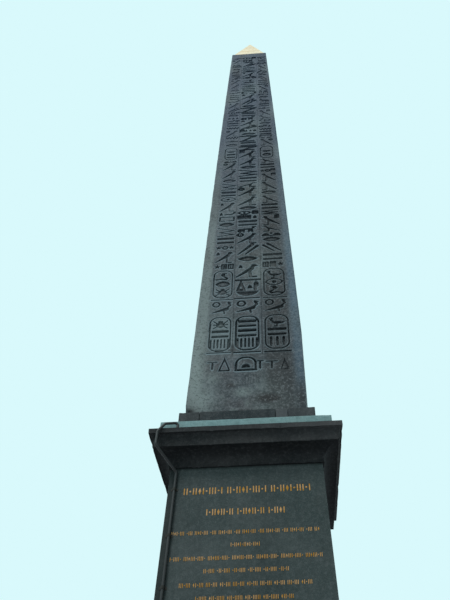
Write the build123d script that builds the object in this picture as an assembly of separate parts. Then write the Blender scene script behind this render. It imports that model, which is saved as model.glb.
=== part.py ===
"""A granite obelisk on a tall moulded pedestal, with a gilded sheet cap.

Frame: millimetres, +Z up, the origin on the monument's axis at ground level. The front face
looks along -Y and the right side along +X. From the ground up: two steps, a socle in four
blocks, a plinth, a base moulding, the die, the cornice, the ledge course, a collar of small
stones and the tapered shaft, each face of it carved with three columns of sunk signs. A cable
comes down the front near its left edge, after a loop over the cornice.
"""

import math
import os
from functools import reduce

from build123d import *

# Gap left between two stones of one course, where the mortar has washed out of the face.
stone_joint = 6.0

# The two steps: rings of stones round a core.
lower_step_width = 5600.0
lower_step_rise = 250.0
lower_step_tread = 300.0
upper_step_rise = 250.0
step_stone_depth = 700.0
step_nosing = 14.0
front_step_stones = 4
side_step_stones = 3

# The pedestal below the die.
socle_width = 4300.0
socle_height = 900.0
plinth_width = 3640.0
plinth_height = 850.0
block_arris = 18.0
base_height = 362.0
base_torus_height = 120.0
base_torus_projection = 150.0
base_fillet_height = 34.0
base_fillet_projection = 62.0

# The die, a single block that narrows a little upwards.
die_head_width = 2686.0
die_height = 5000.0
die_batter = 0.012
die_arris = 8.0

# The cornice, given as projections from the head of the die.
bed_fillet_height = 45.0
bed_fillet_projection = 34.0
bed_hollow_radius = 223.0
soffit_projection = 309.0
corona_height = 240.0
corona_flare = 41.0
crown_fillet_height = 98.0
crown_fillet_projection = 396.0

# The ledge course on the cornice, and the collar of stones round the bearing block.
ledge_width = 3152.0
ledge_height = 257.0
collar_width = 2618.0
collar_height = 405.0
collar_depth = 300.0
collar_front_joints = (400.0, 1864.0, 2097.0)
collar_side_joints = (700.0, 1310.0)

# The shaft: one stone, whose broken tip is hidden by the cap.
shaft_foot_width = 2440.0
shaft_head_width = 1560.0
shaft_height = 20890.0
shaft_swell = 12.0
shaft_arris = 14.0
shaft_stages = 6
tip_foot_width = 1260.0
tip_head_width = 300.0
tip_height = 1940.0
worn_flank_height = 1100.0
worn_flank_depth = 40.0
worn_flank_length = 800.0
broken_corner_height = 84.0
broken_corner_length = 96.0

# The carving of the shaft: three columns of signs on each face, parted by two upright bands.
# The outer columns keep a margin to the edges of the face. Heights are above the shaft's foot.
left_margin_foot = 320.0
left_margin_head = 58.0
right_margin_foot = 255.0
right_margin_head = 49.0
left_band = (-345.0, -300.0)
right_band = (290.0, 360.0)
sign_depths = (36.0, 54.0, 40.0)
ring_row_height = 1710.0
ring_length = 1140.0
goose_row_height = 2930.0
goose_length = 560.0
upper_ring_row_height = 3560.0
upper_ring_length = 1240.0
ring_stroke = 32.0
sign_first_height = 4880.0
sign_pitch = 818.0
sign_rows = 19
bird_length = 500.0
bars_length = 340.0
lens_length = 260.0

# The gilded cap: four sheets on a skirt ring, with cover strips and a cast point.
cap_width = 1460.0
cap_height = 3600.0
cap_sheet = 12.0
cap_skirt_height = 46.0
cap_skirt_thickness = 60.0
cap_skirt_margin = 15.0
cap_strip_width = 50.0
cap_strip_thickness = 4.0
cap_band_height = 44.0
cap_band_levels = (1180.0, 2300.0)
cap_point_height = 300.0
cap_point_tip = 2.0

# The cable, its saddles and the gland that it ends in.
cable_diameter = 48.0
cable_bend = 60.0
cable_stand_off = 10.0
cable_clearance = 0.3
cable_edge_distance = 118.0
cable_landing = 90.0
gland_diameter = 104.0
gland_neck_diameter = 70.0
gland_height = 40.0
gland_x = -1226.0
gland_y = -1660.0
loop_bend = 50.0
loop_head = 157.0
loop_shoulder_x = -1440.0
loop_shoulder_inset = 30.0
loop_shoulder_drop = 65.0
loop_foot_x = -1515.0
loop_foot_drop = 28.0
loop_crown_x = -1560.0
saddle_wall = 6.0
saddle_width = 46.0
saddle_foot = 34.0
saddle_pitch = 830.0
saddle_rows = 6

# Levels, from the ground up.
socle_level = lower_step_rise + upper_step_rise
plinth_level = socle_level + socle_height
base_level = plinth_level + plinth_height
die_level = base_level + base_height
cornice_level = die_level + die_height
hollow_level = cornice_level + bed_fillet_height
soffit_level = hollow_level + bed_hollow_radius
crown_level = soffit_level + corona_height
ledge_level = crown_level + crown_fillet_height
collar_level = ledge_level + ledge_height
shaft_level = collar_level + collar_height
cap_level = shaft_level + shaft_height

# Widths that several pieces share.
upper_step_width = lower_step_width - 2 * lower_step_tread
die_head = die_head_width / 2
die_foot = die_head + die_batter * die_height
crown_half = die_head + crown_fillet_projection
cap_slope = cap_width / 2 / cap_height


def fuse(shapes):
    """All the shapes as one."""
    return reduce(lambda a, b: a + b, shapes)


def block(x, y, z):
    """A squared stone between three pairs of planes."""
    size = Box(x[1] - x[0], y[1] - y[0], z[1] - z[0], align=(Align.MIN, Align.MIN, Align.MIN))
    return Pos(x[0], y[0], z[0]) * size


def square_block(half, foot, head):
    """A squared stone on the monument's axis."""
    return block((-half, half), (-half, half), (foot, head))


def at(half, level):
    """A point of an outline: so far from the axis, at that level."""
    return Vector(half, 0, level)


def straight(*points):
    """Straight edges through (half width, level) points of an outline."""
    return [Line(at(*a), at(*b)) for a, b in zip(points, points[1:])]


def hollow(upright_end, other_end, upward):
    """A concave arc of an outline that is upright at its first end."""
    return TangentArc(at(*upright_end), at(*other_end), tangent=(0, 0, 1 if upward else -1))


def outline_face(points):
    """A flat face inside an outline of corners."""
    return make_face(Polyline(*points, close=True))


def four_sided(outline, foot, head):
    """A stone with the same outline on all four sides, mitred at its corners.

    The outline is a list of edges on the +X side of the XZ plane, between the (half width,
    level) of its foot and that of its head.
    """
    edges = [edge for drawn in outline for edge in drawn.edges()]
    edges += [edge.mirror(Plane.YZ) for edge in edges]
    edges += [Line(at(half, level), at(-half, level)) for half, level in (foot, head)]
    widest = max(edge.bounding_box().max.X for edge in edges)
    along_y = extrude(make_face(edges), amount=2 * widest, both=True)
    return along_y & (Rot(0, 0, 90) * along_y)


def stone_row(start, end, count):
    """The two ends of each of so many equal stones, with a joint between them."""
    length = (end - start - (count - 1) * stone_joint) / count
    starts = [start + i * (length + stone_joint) for i in range(count)]
    return [(a, a + length) for a in starts]


def step_stone(x, y, z):
    """One stone of a step, its top edges rounded by feet and weather."""
    stone = block(x, y, z)
    return fillet(stone.faces().sort_by(Axis.Z)[-1].edges(), step_nosing)


def ring_sides(front, right):
    """Names the four sides of a course: the back and the left repeat the front and the right."""
    turned = Rot(0, 0, 180)
    return {
        "front": Compound(children=front),
        "right": Compound(children=right),
        "back": Compound(children=[turned * stone for stone in front]),
        "left": Compound(children=[turned * stone for stone in right]),
    }


def step_ring(width, foot, rise):
    """The four sides of a step, the front and back ones running through at the corners."""
    outer = width / 2
    inner = outer - step_stone_depth
    reach = inner - stone_joint
    z = (foot, foot + rise)
    front = [step_stone(x, (-outer, -inner), z) for x in stone_row(-outer, outer, front_step_stones)]
    right = [step_stone((inner, outer), y, z) for y in stone_row(-reach, reach, side_step_stones)]
    return ring_sides(front, right)


def foundation_core():
    """The masonry that the step stones are laid against and that the socle stands on."""
    margin = step_stone_depth + stone_joint
    lower = square_block(lower_step_width / 2 - margin, 0, lower_step_rise)
    upper = square_block(upper_step_width / 2 - margin, lower_step_rise, socle_level)
    return lower + upper


def socle_quarter(turn):
    """One of the four socle blocks, with its outer edges blunted."""
    near = stone_joint / 2
    far = socle_width / 2
    stone = block((near, far), (near, far), (socle_level, plinth_level))
    upright = stone.edges().filter_by(Axis.Z).sort_by(lambda e: e.center().X + e.center().Y)[-1]
    rim = stone.faces().sort_by(Axis.Z)[-1].edges()
    outer = [e for e in rim if max(e.center().X, e.center().Y) > far - 1]
    return Rot(0, 0, turn) * chamfer([upright, *outer], block_arris)


def plinth():
    """The plain block under the base moulding."""
    stone = square_block(plinth_width / 2, plinth_level, base_level)
    rim = stone.faces().sort_by(Axis.Z)[-1].edges()
    return chamfer([*stone.edges().filter_by(Axis.Z), *rim], block_arris)


def base_moulding():
    """A torus, a fillet and a hollow that draws in to the foot of the die."""
    rounding = base_torus_height / 2
    widest = die_foot + base_torus_projection
    shoulder = widest - rounding
    shelf = die_foot + base_fillet_projection
    torus_top = base_level + base_torus_height
    fillet_top = torus_top + base_fillet_height
    bulge = ThreePointArc(
        at(shoulder, base_level), at(widest, base_level + rounding), at(shoulder, torus_top)
    )
    ledge = straight((shoulder, torus_top), (shelf, torus_top), (shelf, fillet_top))
    neck = hollow((die_foot, die_level), (shelf, fillet_top), upward=False)
    return four_sided([bulge, *ledge, neck], (shoulder, base_level), (die_foot, die_level))


def die():
    """The die of the pedestal, its four upright edges blunted."""
    foot = (die_foot, die_level)
    head = (die_head, cornice_level)
    stone = four_sided(straight(foot, head), foot, head)
    upright = [e for e in stone.edges() if e.length > die_height * 0.9]
    return chamfer(upright, die_arris)


def cornice():
    """Bed fillet, hollow, soffit, flared corona and crown fillet, worked on one block."""
    bed = die_head + bed_fillet_projection
    hollow_top = bed + bed_hollow_radius
    drip = die_head + soffit_projection
    flare = drip + corona_flare
    foot = (die_head, cornice_level)
    head = (crown_half, ledge_level)
    outline = [
        *straight(foot, (bed, cornice_level), (bed, hollow_level)),
        hollow((bed, hollow_level), (hollow_top, soffit_level), upward=True),
        *straight((hollow_top, soffit_level), (drip, soffit_level)),
        hollow((drip, soffit_level), (flare, crown_level), upward=True),
        *straight((flare, crown_level), (crown_half, crown_level), head),
    ]
    return four_sided(outline, foot, head)


def ledge_course():
    """The pale course that stands on the cornice."""
    stone = square_block(ledge_width / 2, ledge_level, collar_level)
    rim = stone.faces().sort_by(Axis.Z)[-1].edges()
    return chamfer([*stone.edges().filter_by(Axis.Z), *rim], die_arris)


def collar_row(start, end, joints):
    """The two ends of the stones of a collar side, parted at distances from its start."""
    cuts = [start + joint for joint in joints]
    starts = [start, *[cut + stone_joint / 2 for cut in cuts]]
    ends = [*[cut - stone_joint / 2 for cut in cuts], end]
    return zip(starts, ends)


def collar():
    """The four sides of small stones under the edges of the shaft."""
    outer = collar_width / 2
    inner = outer - collar_depth
    reach = inner - stone_joint
    z = (collar_level, shaft_level)
    front = [block(x, (-outer, -inner), z) for x in collar_row(-outer, outer, collar_front_joints)]
    right = [block((inner, outer), y, z) for y in collar_row(-reach, reach, collar_side_joints)]
    return ring_sides(front, right)


def bearing_block():
    """The block inside the collar that takes most of the shaft's weight."""
    half = collar_width / 2 - collar_depth - stone_joint
    return square_block(half, collar_level, shaft_level)


def blunt_sided(points):
    """A four-sided stone through (half width, level) points, its upright arrises cut flat."""
    corners = [((2 * half - shaft_arris) / math.sqrt(2), level) for half, level in points]
    square, diagonal = [four_sided(straight(*row), row[0], row[-1]) for row in (points, corners)]
    return square & (Rot(0, 0, 45) * diagonal)


def shaft_half(height):
    """Half the shaft's width at a height above its foot, with its slight swelling."""
    rise = height / shaft_height
    taper = shaft_foot_width + (shaft_head_width - shaft_foot_width) * rise
    return taper / 2 + shaft_swell * 4 * rise * (1 - rise)


def shaft_stone():
    """The shaft before its carving, with the stump of its broken point."""
    heights = [shaft_height * i / shaft_stages for i in range(shaft_stages + 1)]
    body = blunt_sided([(shaft_half(h), shaft_level + h) for h in heights])
    return body + blunt_sided([(tip_foot_width / 2, cap_level), (tip_head_width / 2, cap_level + tip_height)])


def shaft():
    """The carved shaft, with a worn flank and a broken foot corner."""
    corner = shaft_foot_width / 2
    worn = wedge_plane(
        (corner - worn_flank_depth, -corner, shaft_level),
        (corner, -corner + worn_flank_length, shaft_level),
        (shaft_half(worn_flank_height), -shaft_half(worn_flank_height), shaft_level + worn_flank_height),
    )
    broken = wedge_plane(
        (-corner + broken_corner_length, -corner, shaft_level),
        (-corner, -corner + broken_corner_length, shaft_level),
        (-corner, -corner, shaft_level + broken_corner_height),
    )
    stone = shaft_stone().cut(*[sign for side in range(4) for sign in side_signs(side)])
    for plane in (worn, broken):
        stone = split(stone, bisect_by=plane, keep=Keep.BOTTOM)
    return stone


# Outlines of the signs, as shares of a column's width from its middle and of the sign's length.
bird = [(-0.475, 0.064), (0.093, 0.70), (0.17, 0.88), (0.27, 0.96), (0.45, 0.79), (0.32, 0.70), (0.24, 0.50),
        (-0.445, 0.016)]
goose = [(-0.44, 0.12), (0.17, 0.50), (0.30, 0.64), (0.24, 0.86), (0.34, 0.93), (0.46, 0.80), (0.38, 0.76),
         (0.44, 0.62), (0.28, 0.36), (0.25, 0.24), (-0.42, 0.08)]
lens = [(-0.46, 0.5), (-0.2, 0.84), (0.2, 0.84), (0.46, 0.5), (0.2, 0.16), (-0.2, 0.16)]
upper_bar = [(-0.46, 0.58), (0.46, 0.58), (0.46, 0.92), (-0.46, 0.92)]
lower_bar = [(-0.46, 0.08), (0.46, 0.08), (0.46, 0.34), (-0.46, 0.34)]
ring = [(-0.46, 0.22), (-0.2, 0.06), (0.2, 0.06), (0.46, 0.22), (0.46, 0.83), (0.2, 0.99), (-0.2, 0.99),
        (-0.46, 0.83)]


def sign_column(column, height):
    """The left and right edges of one of the three columns of signs at a height."""
    rise = height / shaft_height
    left_foot = left_margin_foot - shaft_foot_width / 2
    left_head = left_margin_head - shaft_head_width / 2
    right_foot = shaft_foot_width / 2 - right_margin_foot
    right_head = shaft_head_width / 2 - right_margin_head
    left = left_foot + (left_head - left_foot) * rise
    right = right_foot + (right_head - right_foot) * rise
    return [(left, left_band[0]), (left_band[1], right_band[0]), (right_band[1], right)][column]


def sunk_sign(outlines, column, height, length):
    """The recesses of one sign on the front face, its outlines cut in square to the face."""
    left, right = sign_column(column, height + length / 2)
    foot, head = shaft_half(height), shaft_half(height + length)
    face = Plane(
        origin=((left + right) / 2, -foot, shaft_level + height), x_dir=(1, 0, 0), z_dir=(0, -length, foot - head)
    )
    across = (right - left) * (-1 if column == 2 else 1)
    depth = sign_depths[column]
    shapes = [outline_face([(x * across, y * length) for x, y in outline]) for outline in outlines]
    return [extrude(face.offset(-depth) * shape, amount=2 * depth, dir=face.z_dir) for shape in shapes]


def sunk_ring(column, height, length):
    """The groove of an upright ring on the front face."""
    left, right = sign_column(column, height + length / 2)
    inner = [(x * (1 - 2 * ring_stroke / (right - left)), y) for x, y in ring]
    inner = [(x, 0.5 + (y - 0.5) * (1 - 2 * ring_stroke / length)) for x, y in inner]
    whole, core = sunk_sign([ring, inner], column, height, length)
    return [whole - core]


def side_signs(side):
    """The recesses of all main signs on one face: rings, geese, rings again and mixed rows."""
    signs = []
    for column in range(3):
        signs += sunk_ring(column, ring_row_height, ring_length)
        signs += sunk_sign([goose], column, goose_row_height, goose_length)
        for row in range(sign_rows):
            kind = [([bird], bird_length), ([upper_bar, lower_bar], bars_length), ([lens], lens_length)]
            outlines, length = kind[(row + 2 * column + side) % 3]
            signs += sunk_sign(outlines, column, sign_first_height + row * sign_pitch, length)
    for column in (0, 2):
        signs += sunk_ring(column, upper_ring_row_height, upper_ring_length)
    return [Rot(0, 0, 90 * side) * sign for sign in signs]


def wedge_plane(a, b, c):
    """The plane through three points, its upper side away from the monument's axis."""
    a, b, c = Vector(a), Vector(b), Vector(c)
    normal = (b - a).cross(c - a)
    outward = normal.X * a.X + normal.Y * a.Y
    return Plane(origin=a, z_dir=normal if outward > 0 else normal * -1)


def cap_pyramid(offset):
    """The cap's pyramid, with its faces moved outwards by an offset."""
    spread = offset * math.hypot(1, cap_slope)
    foot = (cap_width / 2 + spread, cap_level)
    head = (cap_point_tip / 2, cap_level + (foot[0] - cap_point_tip / 2) / cap_slope)
    return four_sided(straight(foot, head), foot, head)


def cap_slice(foot, head):
    """All that lies between two heights of the cap."""
    return square_block(cap_width, cap_level + foot, cap_level + head)


def cap_corners():
    """Upright slabs through the cap's four hips, as wide as the strips that cover them."""
    slab = Box(3 * cap_width, cap_strip_width * math.sqrt(2), 3 * cap_height)
    return Pos(0, 0, cap_level) * (Rot(0, 0, 45) * slab + Rot(0, 0, -45) * slab)


def cap_sheets():
    """The four sheets of the cap, mitred where they meet."""
    body = cap_slice(cap_skirt_height, cap_height - cap_point_height)
    shell = (cap_pyramid(0) - cap_pyramid(-cap_sheet)) & body
    quarter = Polyline((0, 0), (cap_width, -cap_width), (cap_width, cap_width), close=True)
    side = extrude(Plane.XY.offset(cap_level) * make_face(quarter), amount=cap_height)
    right = shell & side
    turns = {"right": 0, "back": 90, "left": 180, "front": 270}
    return {name: Rot(0, 0, turn) * right for name, turn in turns.items()}


def cap_skirt():
    """The ring that the sheets stand on, bedded on the head of the shaft."""
    outer = cap_width / 2 + cap_skirt_margin
    inner = cap_width / 2 - cap_skirt_thickness
    foot, head = cap_level, cap_level + cap_skirt_height
    return square_block(outer, foot, head) - square_block(inner, foot, head)


def cap_cover():
    """The layer outside the sheets that the strips and bands are cut from."""
    return cap_pyramid(cap_strip_thickness) - cap_pyramid(0)


def cap_hip_strips():
    """The folded strips over the four hips of the cap."""
    return cap_cover() & cap_corners() & cap_slice(cap_skirt_height, cap_height - cap_point_height)


def cap_bands():
    """The two level bands that cover the joints of the cap's sheets."""
    bands = fuse([cap_slice(level, level + cap_band_height) for level in cap_band_levels])
    return (cap_cover() & bands) - cap_corners()


def cap_point():
    """The cast point of the cap."""
    head_level = cap_level + cap_height
    foot = (cap_slope * cap_point_height + cap_strip_thickness, head_level - cap_point_height)
    head = (cap_point_tip / 2, head_level)
    return four_sided(straight(foot, head), foot, head)


def die_face(level):
    """Distance of the die's faces from the axis at a level."""
    return die_head + die_batter * (cornice_level - level)


def cable_x(level):
    """Where the cable runs down the front of the die: beside its left edge, which leans."""
    return cable_edge_distance - die_face(level)


def cable_route():
    """The centre line of the cable, from the gland over the cornice down to the ground."""
    away = cable_diameter / 2 + cable_stand_off
    head = ledge_level + loop_head
    crown_y = -crown_half - away
    past_crown = (loop_crown_x, crown_y, (crown_level + soffit_level) / 2)
    loop = [
        (gland_x, gland_y, ledge_level + gland_height / 2),
        (gland_x, gland_y, head),
        (loop_shoulder_x, crown_y + loop_shoulder_inset, head - loop_shoulder_drop),
        (loop_foot_x, crown_y, ledge_level - loop_foot_drop),
        (loop_crown_x, crown_y, crown_level),
        past_crown,
    ]
    landing = cornice_level - cable_landing
    x = cable_x(die_level)
    points = [
        past_crown,
        (loop_crown_x, crown_y, soffit_level - away),
        (cable_x(landing), -die_face(landing) - away, landing),
        (x, -die_face(die_level) - away, die_level),
        (x, -plinth_width / 2 - away, base_level + away),
    ]
    edges = (plinth_width / 2, socle_width / 2, upper_step_width / 2, lower_step_width / 2)
    shelves = (plinth_level, socle_level, lower_step_rise)
    for near, far, shelf in zip(edges, edges[1:], shelves):
        points += [(x, -near - away, shelf + away), (x, -far - away, shelf + away)]
    points.append((x, -edges[-1] - away, 0))
    return FilletPolyline(*loop, radius=loop_bend) + FilletPolyline(*points, radius=cable_bend)


def cable():
    """The round cable."""
    route = cable_route()
    section = Plane(origin=route @ 0, z_dir=route % 0) * Circle(cable_diameter / 2)
    return sweep(section, path=route)


def gland():
    """The waisted fitting that the cable's upper end is leaded into."""
    foot = Cylinder(gland_diameter / 2, gland_height / 2, align=(Align.CENTER, Align.CENTER, Align.MIN))
    neck = Cylinder(gland_neck_diameter / 2, gland_height, align=(Align.CENTER, Align.CENTER, Align.MIN))
    bore = Pos(0, 0, gland_height / 2) * Cylinder(
        cable_diameter / 2, gland_height, align=(Align.CENTER, Align.CENTER, Align.MIN)
    )
    return Pos(gland_x, gland_y, ledge_level) * (foot + neck - bore)


def saddle():
    """A strap over the cable with a foot on either side; its wall side is the XZ plane."""
    away = cable_diameter / 2 + cable_stand_off
    bore = cable_diameter / 2 + cable_clearance
    outer = bore + saddle_wall
    arch = Pos(0, -away) * (Circle(outer) + Pos(0, away / 2) * Rectangle(2 * outer, away))
    feet = Pos(0, -saddle_wall / 2) * Rectangle(2 * (outer + saddle_foot), saddle_wall)
    opening = Pos(0, -away) * (Circle(bore) + Pos(0, away / 2) * Rectangle(2 * bore, away))
    return extrude(arch + feet - opening, amount=saddle_width / 2, both=True)


def saddles():
    """The saddles down the die, and one each on the plinth and the socle."""
    x = cable_x(die_level)
    lean = math.degrees(math.atan(die_batter))
    first = cornice_level - (die_height - (saddle_rows - 1) * saddle_pitch) / 2
    levels = [first - i * saddle_pitch for i in range(saddle_rows)]
    places = [Pos(cable_x(z), -die_face(z), z) * Rot(-lean, lean, 0) for z in levels]
    places.append(Pos(x, -plinth_width / 2, plinth_level + plinth_height / 2))
    places.append(Pos(x, -socle_width / 2, socle_level + socle_height / 2))
    return [place * saddle() for place in places]


def sided(prefix, sides):
    """Names the pieces of a course after the sides they are on."""
    return {f"{prefix}_{side}": shape for side, shape in sides.items()}


pieces = {
    **sided("lower_step", step_ring(lower_step_width, 0, lower_step_rise)),
    **sided("upper_step", step_ring(upper_step_width, lower_step_rise, upper_step_rise)),
    "foundation_core": foundation_core(),
    "socle_back_right": socle_quarter(0),
    "socle_back_left": socle_quarter(90),
    "socle_front_left": socle_quarter(180),
    "socle_front_right": socle_quarter(270),
    "plinth": plinth(),
    "base_moulding": base_moulding(),
    "die": die(),
    "cornice": cornice(),
    "ledge_course": ledge_course(),
    **sided("collar", collar()),
    "bearing_block": bearing_block(),
    "shaft": shaft(),
    **sided("cap_sheet", cap_sheets()),
    "cap_skirt": cap_skirt(),
    "cap_hip_strips": cap_hip_strips(),
    "cap_bands": cap_bands(),
    "cap_point": cap_point(),
    "conductor_cable": cable(),
    "conductor_gland": gland(),
    "conductor_saddles": Compound(children=saddles()),
}

os.makedirs("parts", exist_ok=True)
for name, shape in pieces.items():
    export_step(Compound(children=list(shape.solids())), f"parts/{name}.step")
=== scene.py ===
# A granite obelisk with a gilded cap on its moulded pedestal.
# Metres, +Z up, the front face along -Y, the origin on the axis at ground level.
import math
import bpy
import numpy as np
from mathutils import Matrix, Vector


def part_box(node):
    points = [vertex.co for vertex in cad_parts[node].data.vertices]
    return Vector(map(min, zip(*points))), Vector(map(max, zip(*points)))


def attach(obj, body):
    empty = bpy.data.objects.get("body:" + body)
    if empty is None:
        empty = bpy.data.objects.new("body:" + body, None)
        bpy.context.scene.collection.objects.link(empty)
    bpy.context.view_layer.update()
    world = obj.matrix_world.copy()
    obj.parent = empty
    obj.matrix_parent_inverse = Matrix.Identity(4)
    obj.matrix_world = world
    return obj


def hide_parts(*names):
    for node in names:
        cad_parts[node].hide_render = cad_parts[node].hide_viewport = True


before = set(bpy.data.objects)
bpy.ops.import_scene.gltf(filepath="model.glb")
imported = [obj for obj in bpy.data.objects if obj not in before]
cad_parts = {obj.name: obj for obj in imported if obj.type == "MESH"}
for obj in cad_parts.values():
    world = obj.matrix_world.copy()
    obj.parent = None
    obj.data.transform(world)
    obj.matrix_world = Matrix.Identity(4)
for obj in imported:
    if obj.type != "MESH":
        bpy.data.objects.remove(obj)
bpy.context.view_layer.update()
print("frame loaded:", len(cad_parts), "stones and fittings")


# Mesh helpers

def quadGrid(rows, cols, start, closed):
    # quads between neighbours of a grid numbered row by row; closed joins the last column to the first
    row = np.arange(rows - 1)[:, None] * cols
    col = np.arange(cols if closed else cols - 1)[None, :]
    nextCol = (col + 1) % cols
    corners = [row + col, row + nextCol, row + nextCol + cols, row + col + cols]
    return start + np.stack(np.broadcast_arrays(*corners), axis=-1).reshape(-1, 4)


def meshPiece(name, grids, material, slotName, attributes, closed=True):
    # one mesh from several grids of points (rows, columns, 3), each drawn as its own patch
    points, faces, count = [], [], 0
    for grid in grids:
        points.append(grid.reshape(-1, 3))
        faces.append(quadGrid(*grid.shape[:2], count, closed))
        count += len(points[-1])
    return meshFromArrays(name, np.concatenate(points), np.concatenate(faces), material, slotName, attributes)


def meshFromArrays(name, points, faces, material, slotName, attributes):
    # flat-shaded quads in one material, with a value for each point under each attribute's name
    mesh = bpy.data.meshes.new(name)
    mesh.vertices.add(len(points))
    mesh.vertices.foreach_set("co", np.ascontiguousarray(points, dtype=np.float32).ravel())
    mesh.loops.add(faces.size)
    mesh.loops.foreach_set("vertex_index", faces.ravel().astype(np.int32))
    mesh.polygons.add(len(faces))
    mesh.polygons.foreach_set("loop_start", np.arange(0, faces.size, faces.shape[1], dtype=np.int32))
    mesh.polygons.foreach_set("use_smooth", np.zeros(len(faces), dtype=bool))
    for key, values in attributes.items():
        layer = mesh.attributes.new(key, "FLOAT", "POINT")
        layer.data.foreach_set("value", np.ascontiguousarray(values, dtype=np.float32).ravel())
    mesh.update(calc_edges=True)
    mesh.materials.append(material)
    piece = bpy.data.objects.new(name, mesh)
    bpy.context.scene.collection.objects.link(piece)
    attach(piece, "root")
    return piece


def waves(x, z, wavelength, seed):
    # smooth unevenness between about -1 and 1: five crossing sine waves of similar length
    rng = np.random.default_rng(seed)
    total = 0
    for turn, stretch, phase in zip(rng.uniform(0, math.pi, 5), rng.uniform(0.6, 1.7, 5),
                                    rng.uniform(0, 2 * math.pi, 5)):
        k = 2 * math.pi / (wavelength * stretch)
        total = total + np.sin(k * (x * math.cos(turn) + z * math.sin(turn)) + phase)
    return total / 3


def smooth01(value):
    # eased step: 0 below 0, 1 above 1, and 3t^2 - 2t^3 between
    t = np.clip(value, 0, 1)
    return t * t * (3 - 2 * t)


def turned(points, quarter):
    # a quarter turn about the axis for each side after the front: right, back, left
    c, s = [(1, 0), (0, 1), (-1, 0), (0, -1)][quarter]
    x, y = points[..., 0], points[..., 1]
    return np.stack([c * x - s * y, s * x + c * y, points[..., 2]], axis=-1)


# Material helpers

class Nodes:
    # the node tree of a material or a world
    def __init__(self, owner):
        owner.use_nodes = True
        self.owner, self.tree = owner, owner.node_tree

    def add(self, kind, inputs=None, **settings):
        node = self.tree.nodes.new("ShaderNode" + kind)
        for key, value in settings.items():
            setattr(node, key, value)
        return self.fill(node, inputs or {})

    def fill(self, node, inputs):
        # inputs are linked to a socket or set to a value
        for key, value in inputs.items():
            if isinstance(value, bpy.types.NodeSocket):
                self.tree.links.new(value, node.inputs[key])
            else:
                node.inputs[key].default_value = value
        return node

    def maths(self, operation, *values):
        return self.add("Math", dict(enumerate(values)), operation=operation).outputs[0]


class Finish(Nodes):
    # a material that is built up from a colour in named steps
    def __init__(self, name, colour=None):
        super().__init__(bpy.data.materials.new(name))
        self.colour = colour
        self.place = self.add("TexCoord").outputs["Object"]

    def noise(self, scale, detail=4.0, rough=0.55, stretch=(1, 1, 1), shift=(0, 0, 0)):
        mapped = self.add("Mapping", {"Vector": self.place, "Scale": stretch, "Location": shift})
        return self.add("TexNoise", {"Vector": mapped.outputs[0], "Scale": scale, "Detail": detail,
                                     "Roughness": rough}).outputs["Fac"]

    def crystals(self, scale):
        return self.split(self.add("TexVoronoi", {"Vector": self.place, "Scale": scale}).outputs["Color"])

    def ramp(self, value, *stops):
        node = self.add("ValToRGB", {"Fac": value})
        band = node.color_ramp
        while len(band.elements) < len(stops):
            band.elements.new(0.5)
        for element, (position, colour) in zip(band.elements, stops):
            element.position = position
            element.color = colour
        return node.outputs["Color"]

    def level(self, value, low, high):
        # 0 at low and before it, 1 at high and beyond
        return self.add("MapRange", {"Value": value, "From Min": low, "From Max": high}).outputs["Result"]

    def times(self, first, second):
        return self.maths("MULTIPLY", first, second)

    def mix(self, amount, below, above):
        return self.add("Mix", {0: amount, 6: below, 7: above}, data_type="RGBA", blend_type="MIX").outputs[2]

    def lay(self, mask, share, above):
        # another colour over the present one, by a share of a mask
        self.colour = self.mix(self.times(mask, share), self.colour, above)

    def attribute(self, name):
        return self.add("Attribute", attribute_name=name).outputs["Fac"]

    def split(self, vector):
        return self.add("SeparateXYZ", {0: vector}).outputs

    def facing(self):
        # how far the true surface looks up: 1 on a level top, -1 under a level soffit
        return self.split(self.add("NewGeometry").outputs["True Normal"])[2]

    def bump(self, height, distance, below=None):
        inputs = {"Strength": 1.0, "Distance": distance, "Height": height}
        if below is not None:
            inputs["Normal"] = below
        return self.add("Bump", inputs).outputs["Normal"]

    def finish(self, rough, normal=None, **fixed):
        inputs = {"Base Color": self.colour, "Roughness": rough}
        inputs.update({key.replace("_", " "): value for key, value in fixed.items()})
        if normal is not None:
            inputs["Normal"] = normal
        self.fill(self.tree.nodes["Principled BSDF"], inputs)
        return self.owner


def srgb(red, green, blue):
    # a colour read as 0 to 255 screen values, as the linear values that the shader takes
    values = np.array([red, green, blue]) / 255
    linear = np.where(values <= 0.04045, values / 12.92, ((values + 0.055) / 1.055) ** 2.4)
    return (*[float(v) for v in linear], 1.0)


def blended(one, other, share):
    # one colour moved towards another by a share
    return tuple(a + (b - a) * share for a, b in zip(one, other))


def darker(tone, share):
    return blended(tone, (0, 0, 0, 1), share)


# Stone

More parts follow.
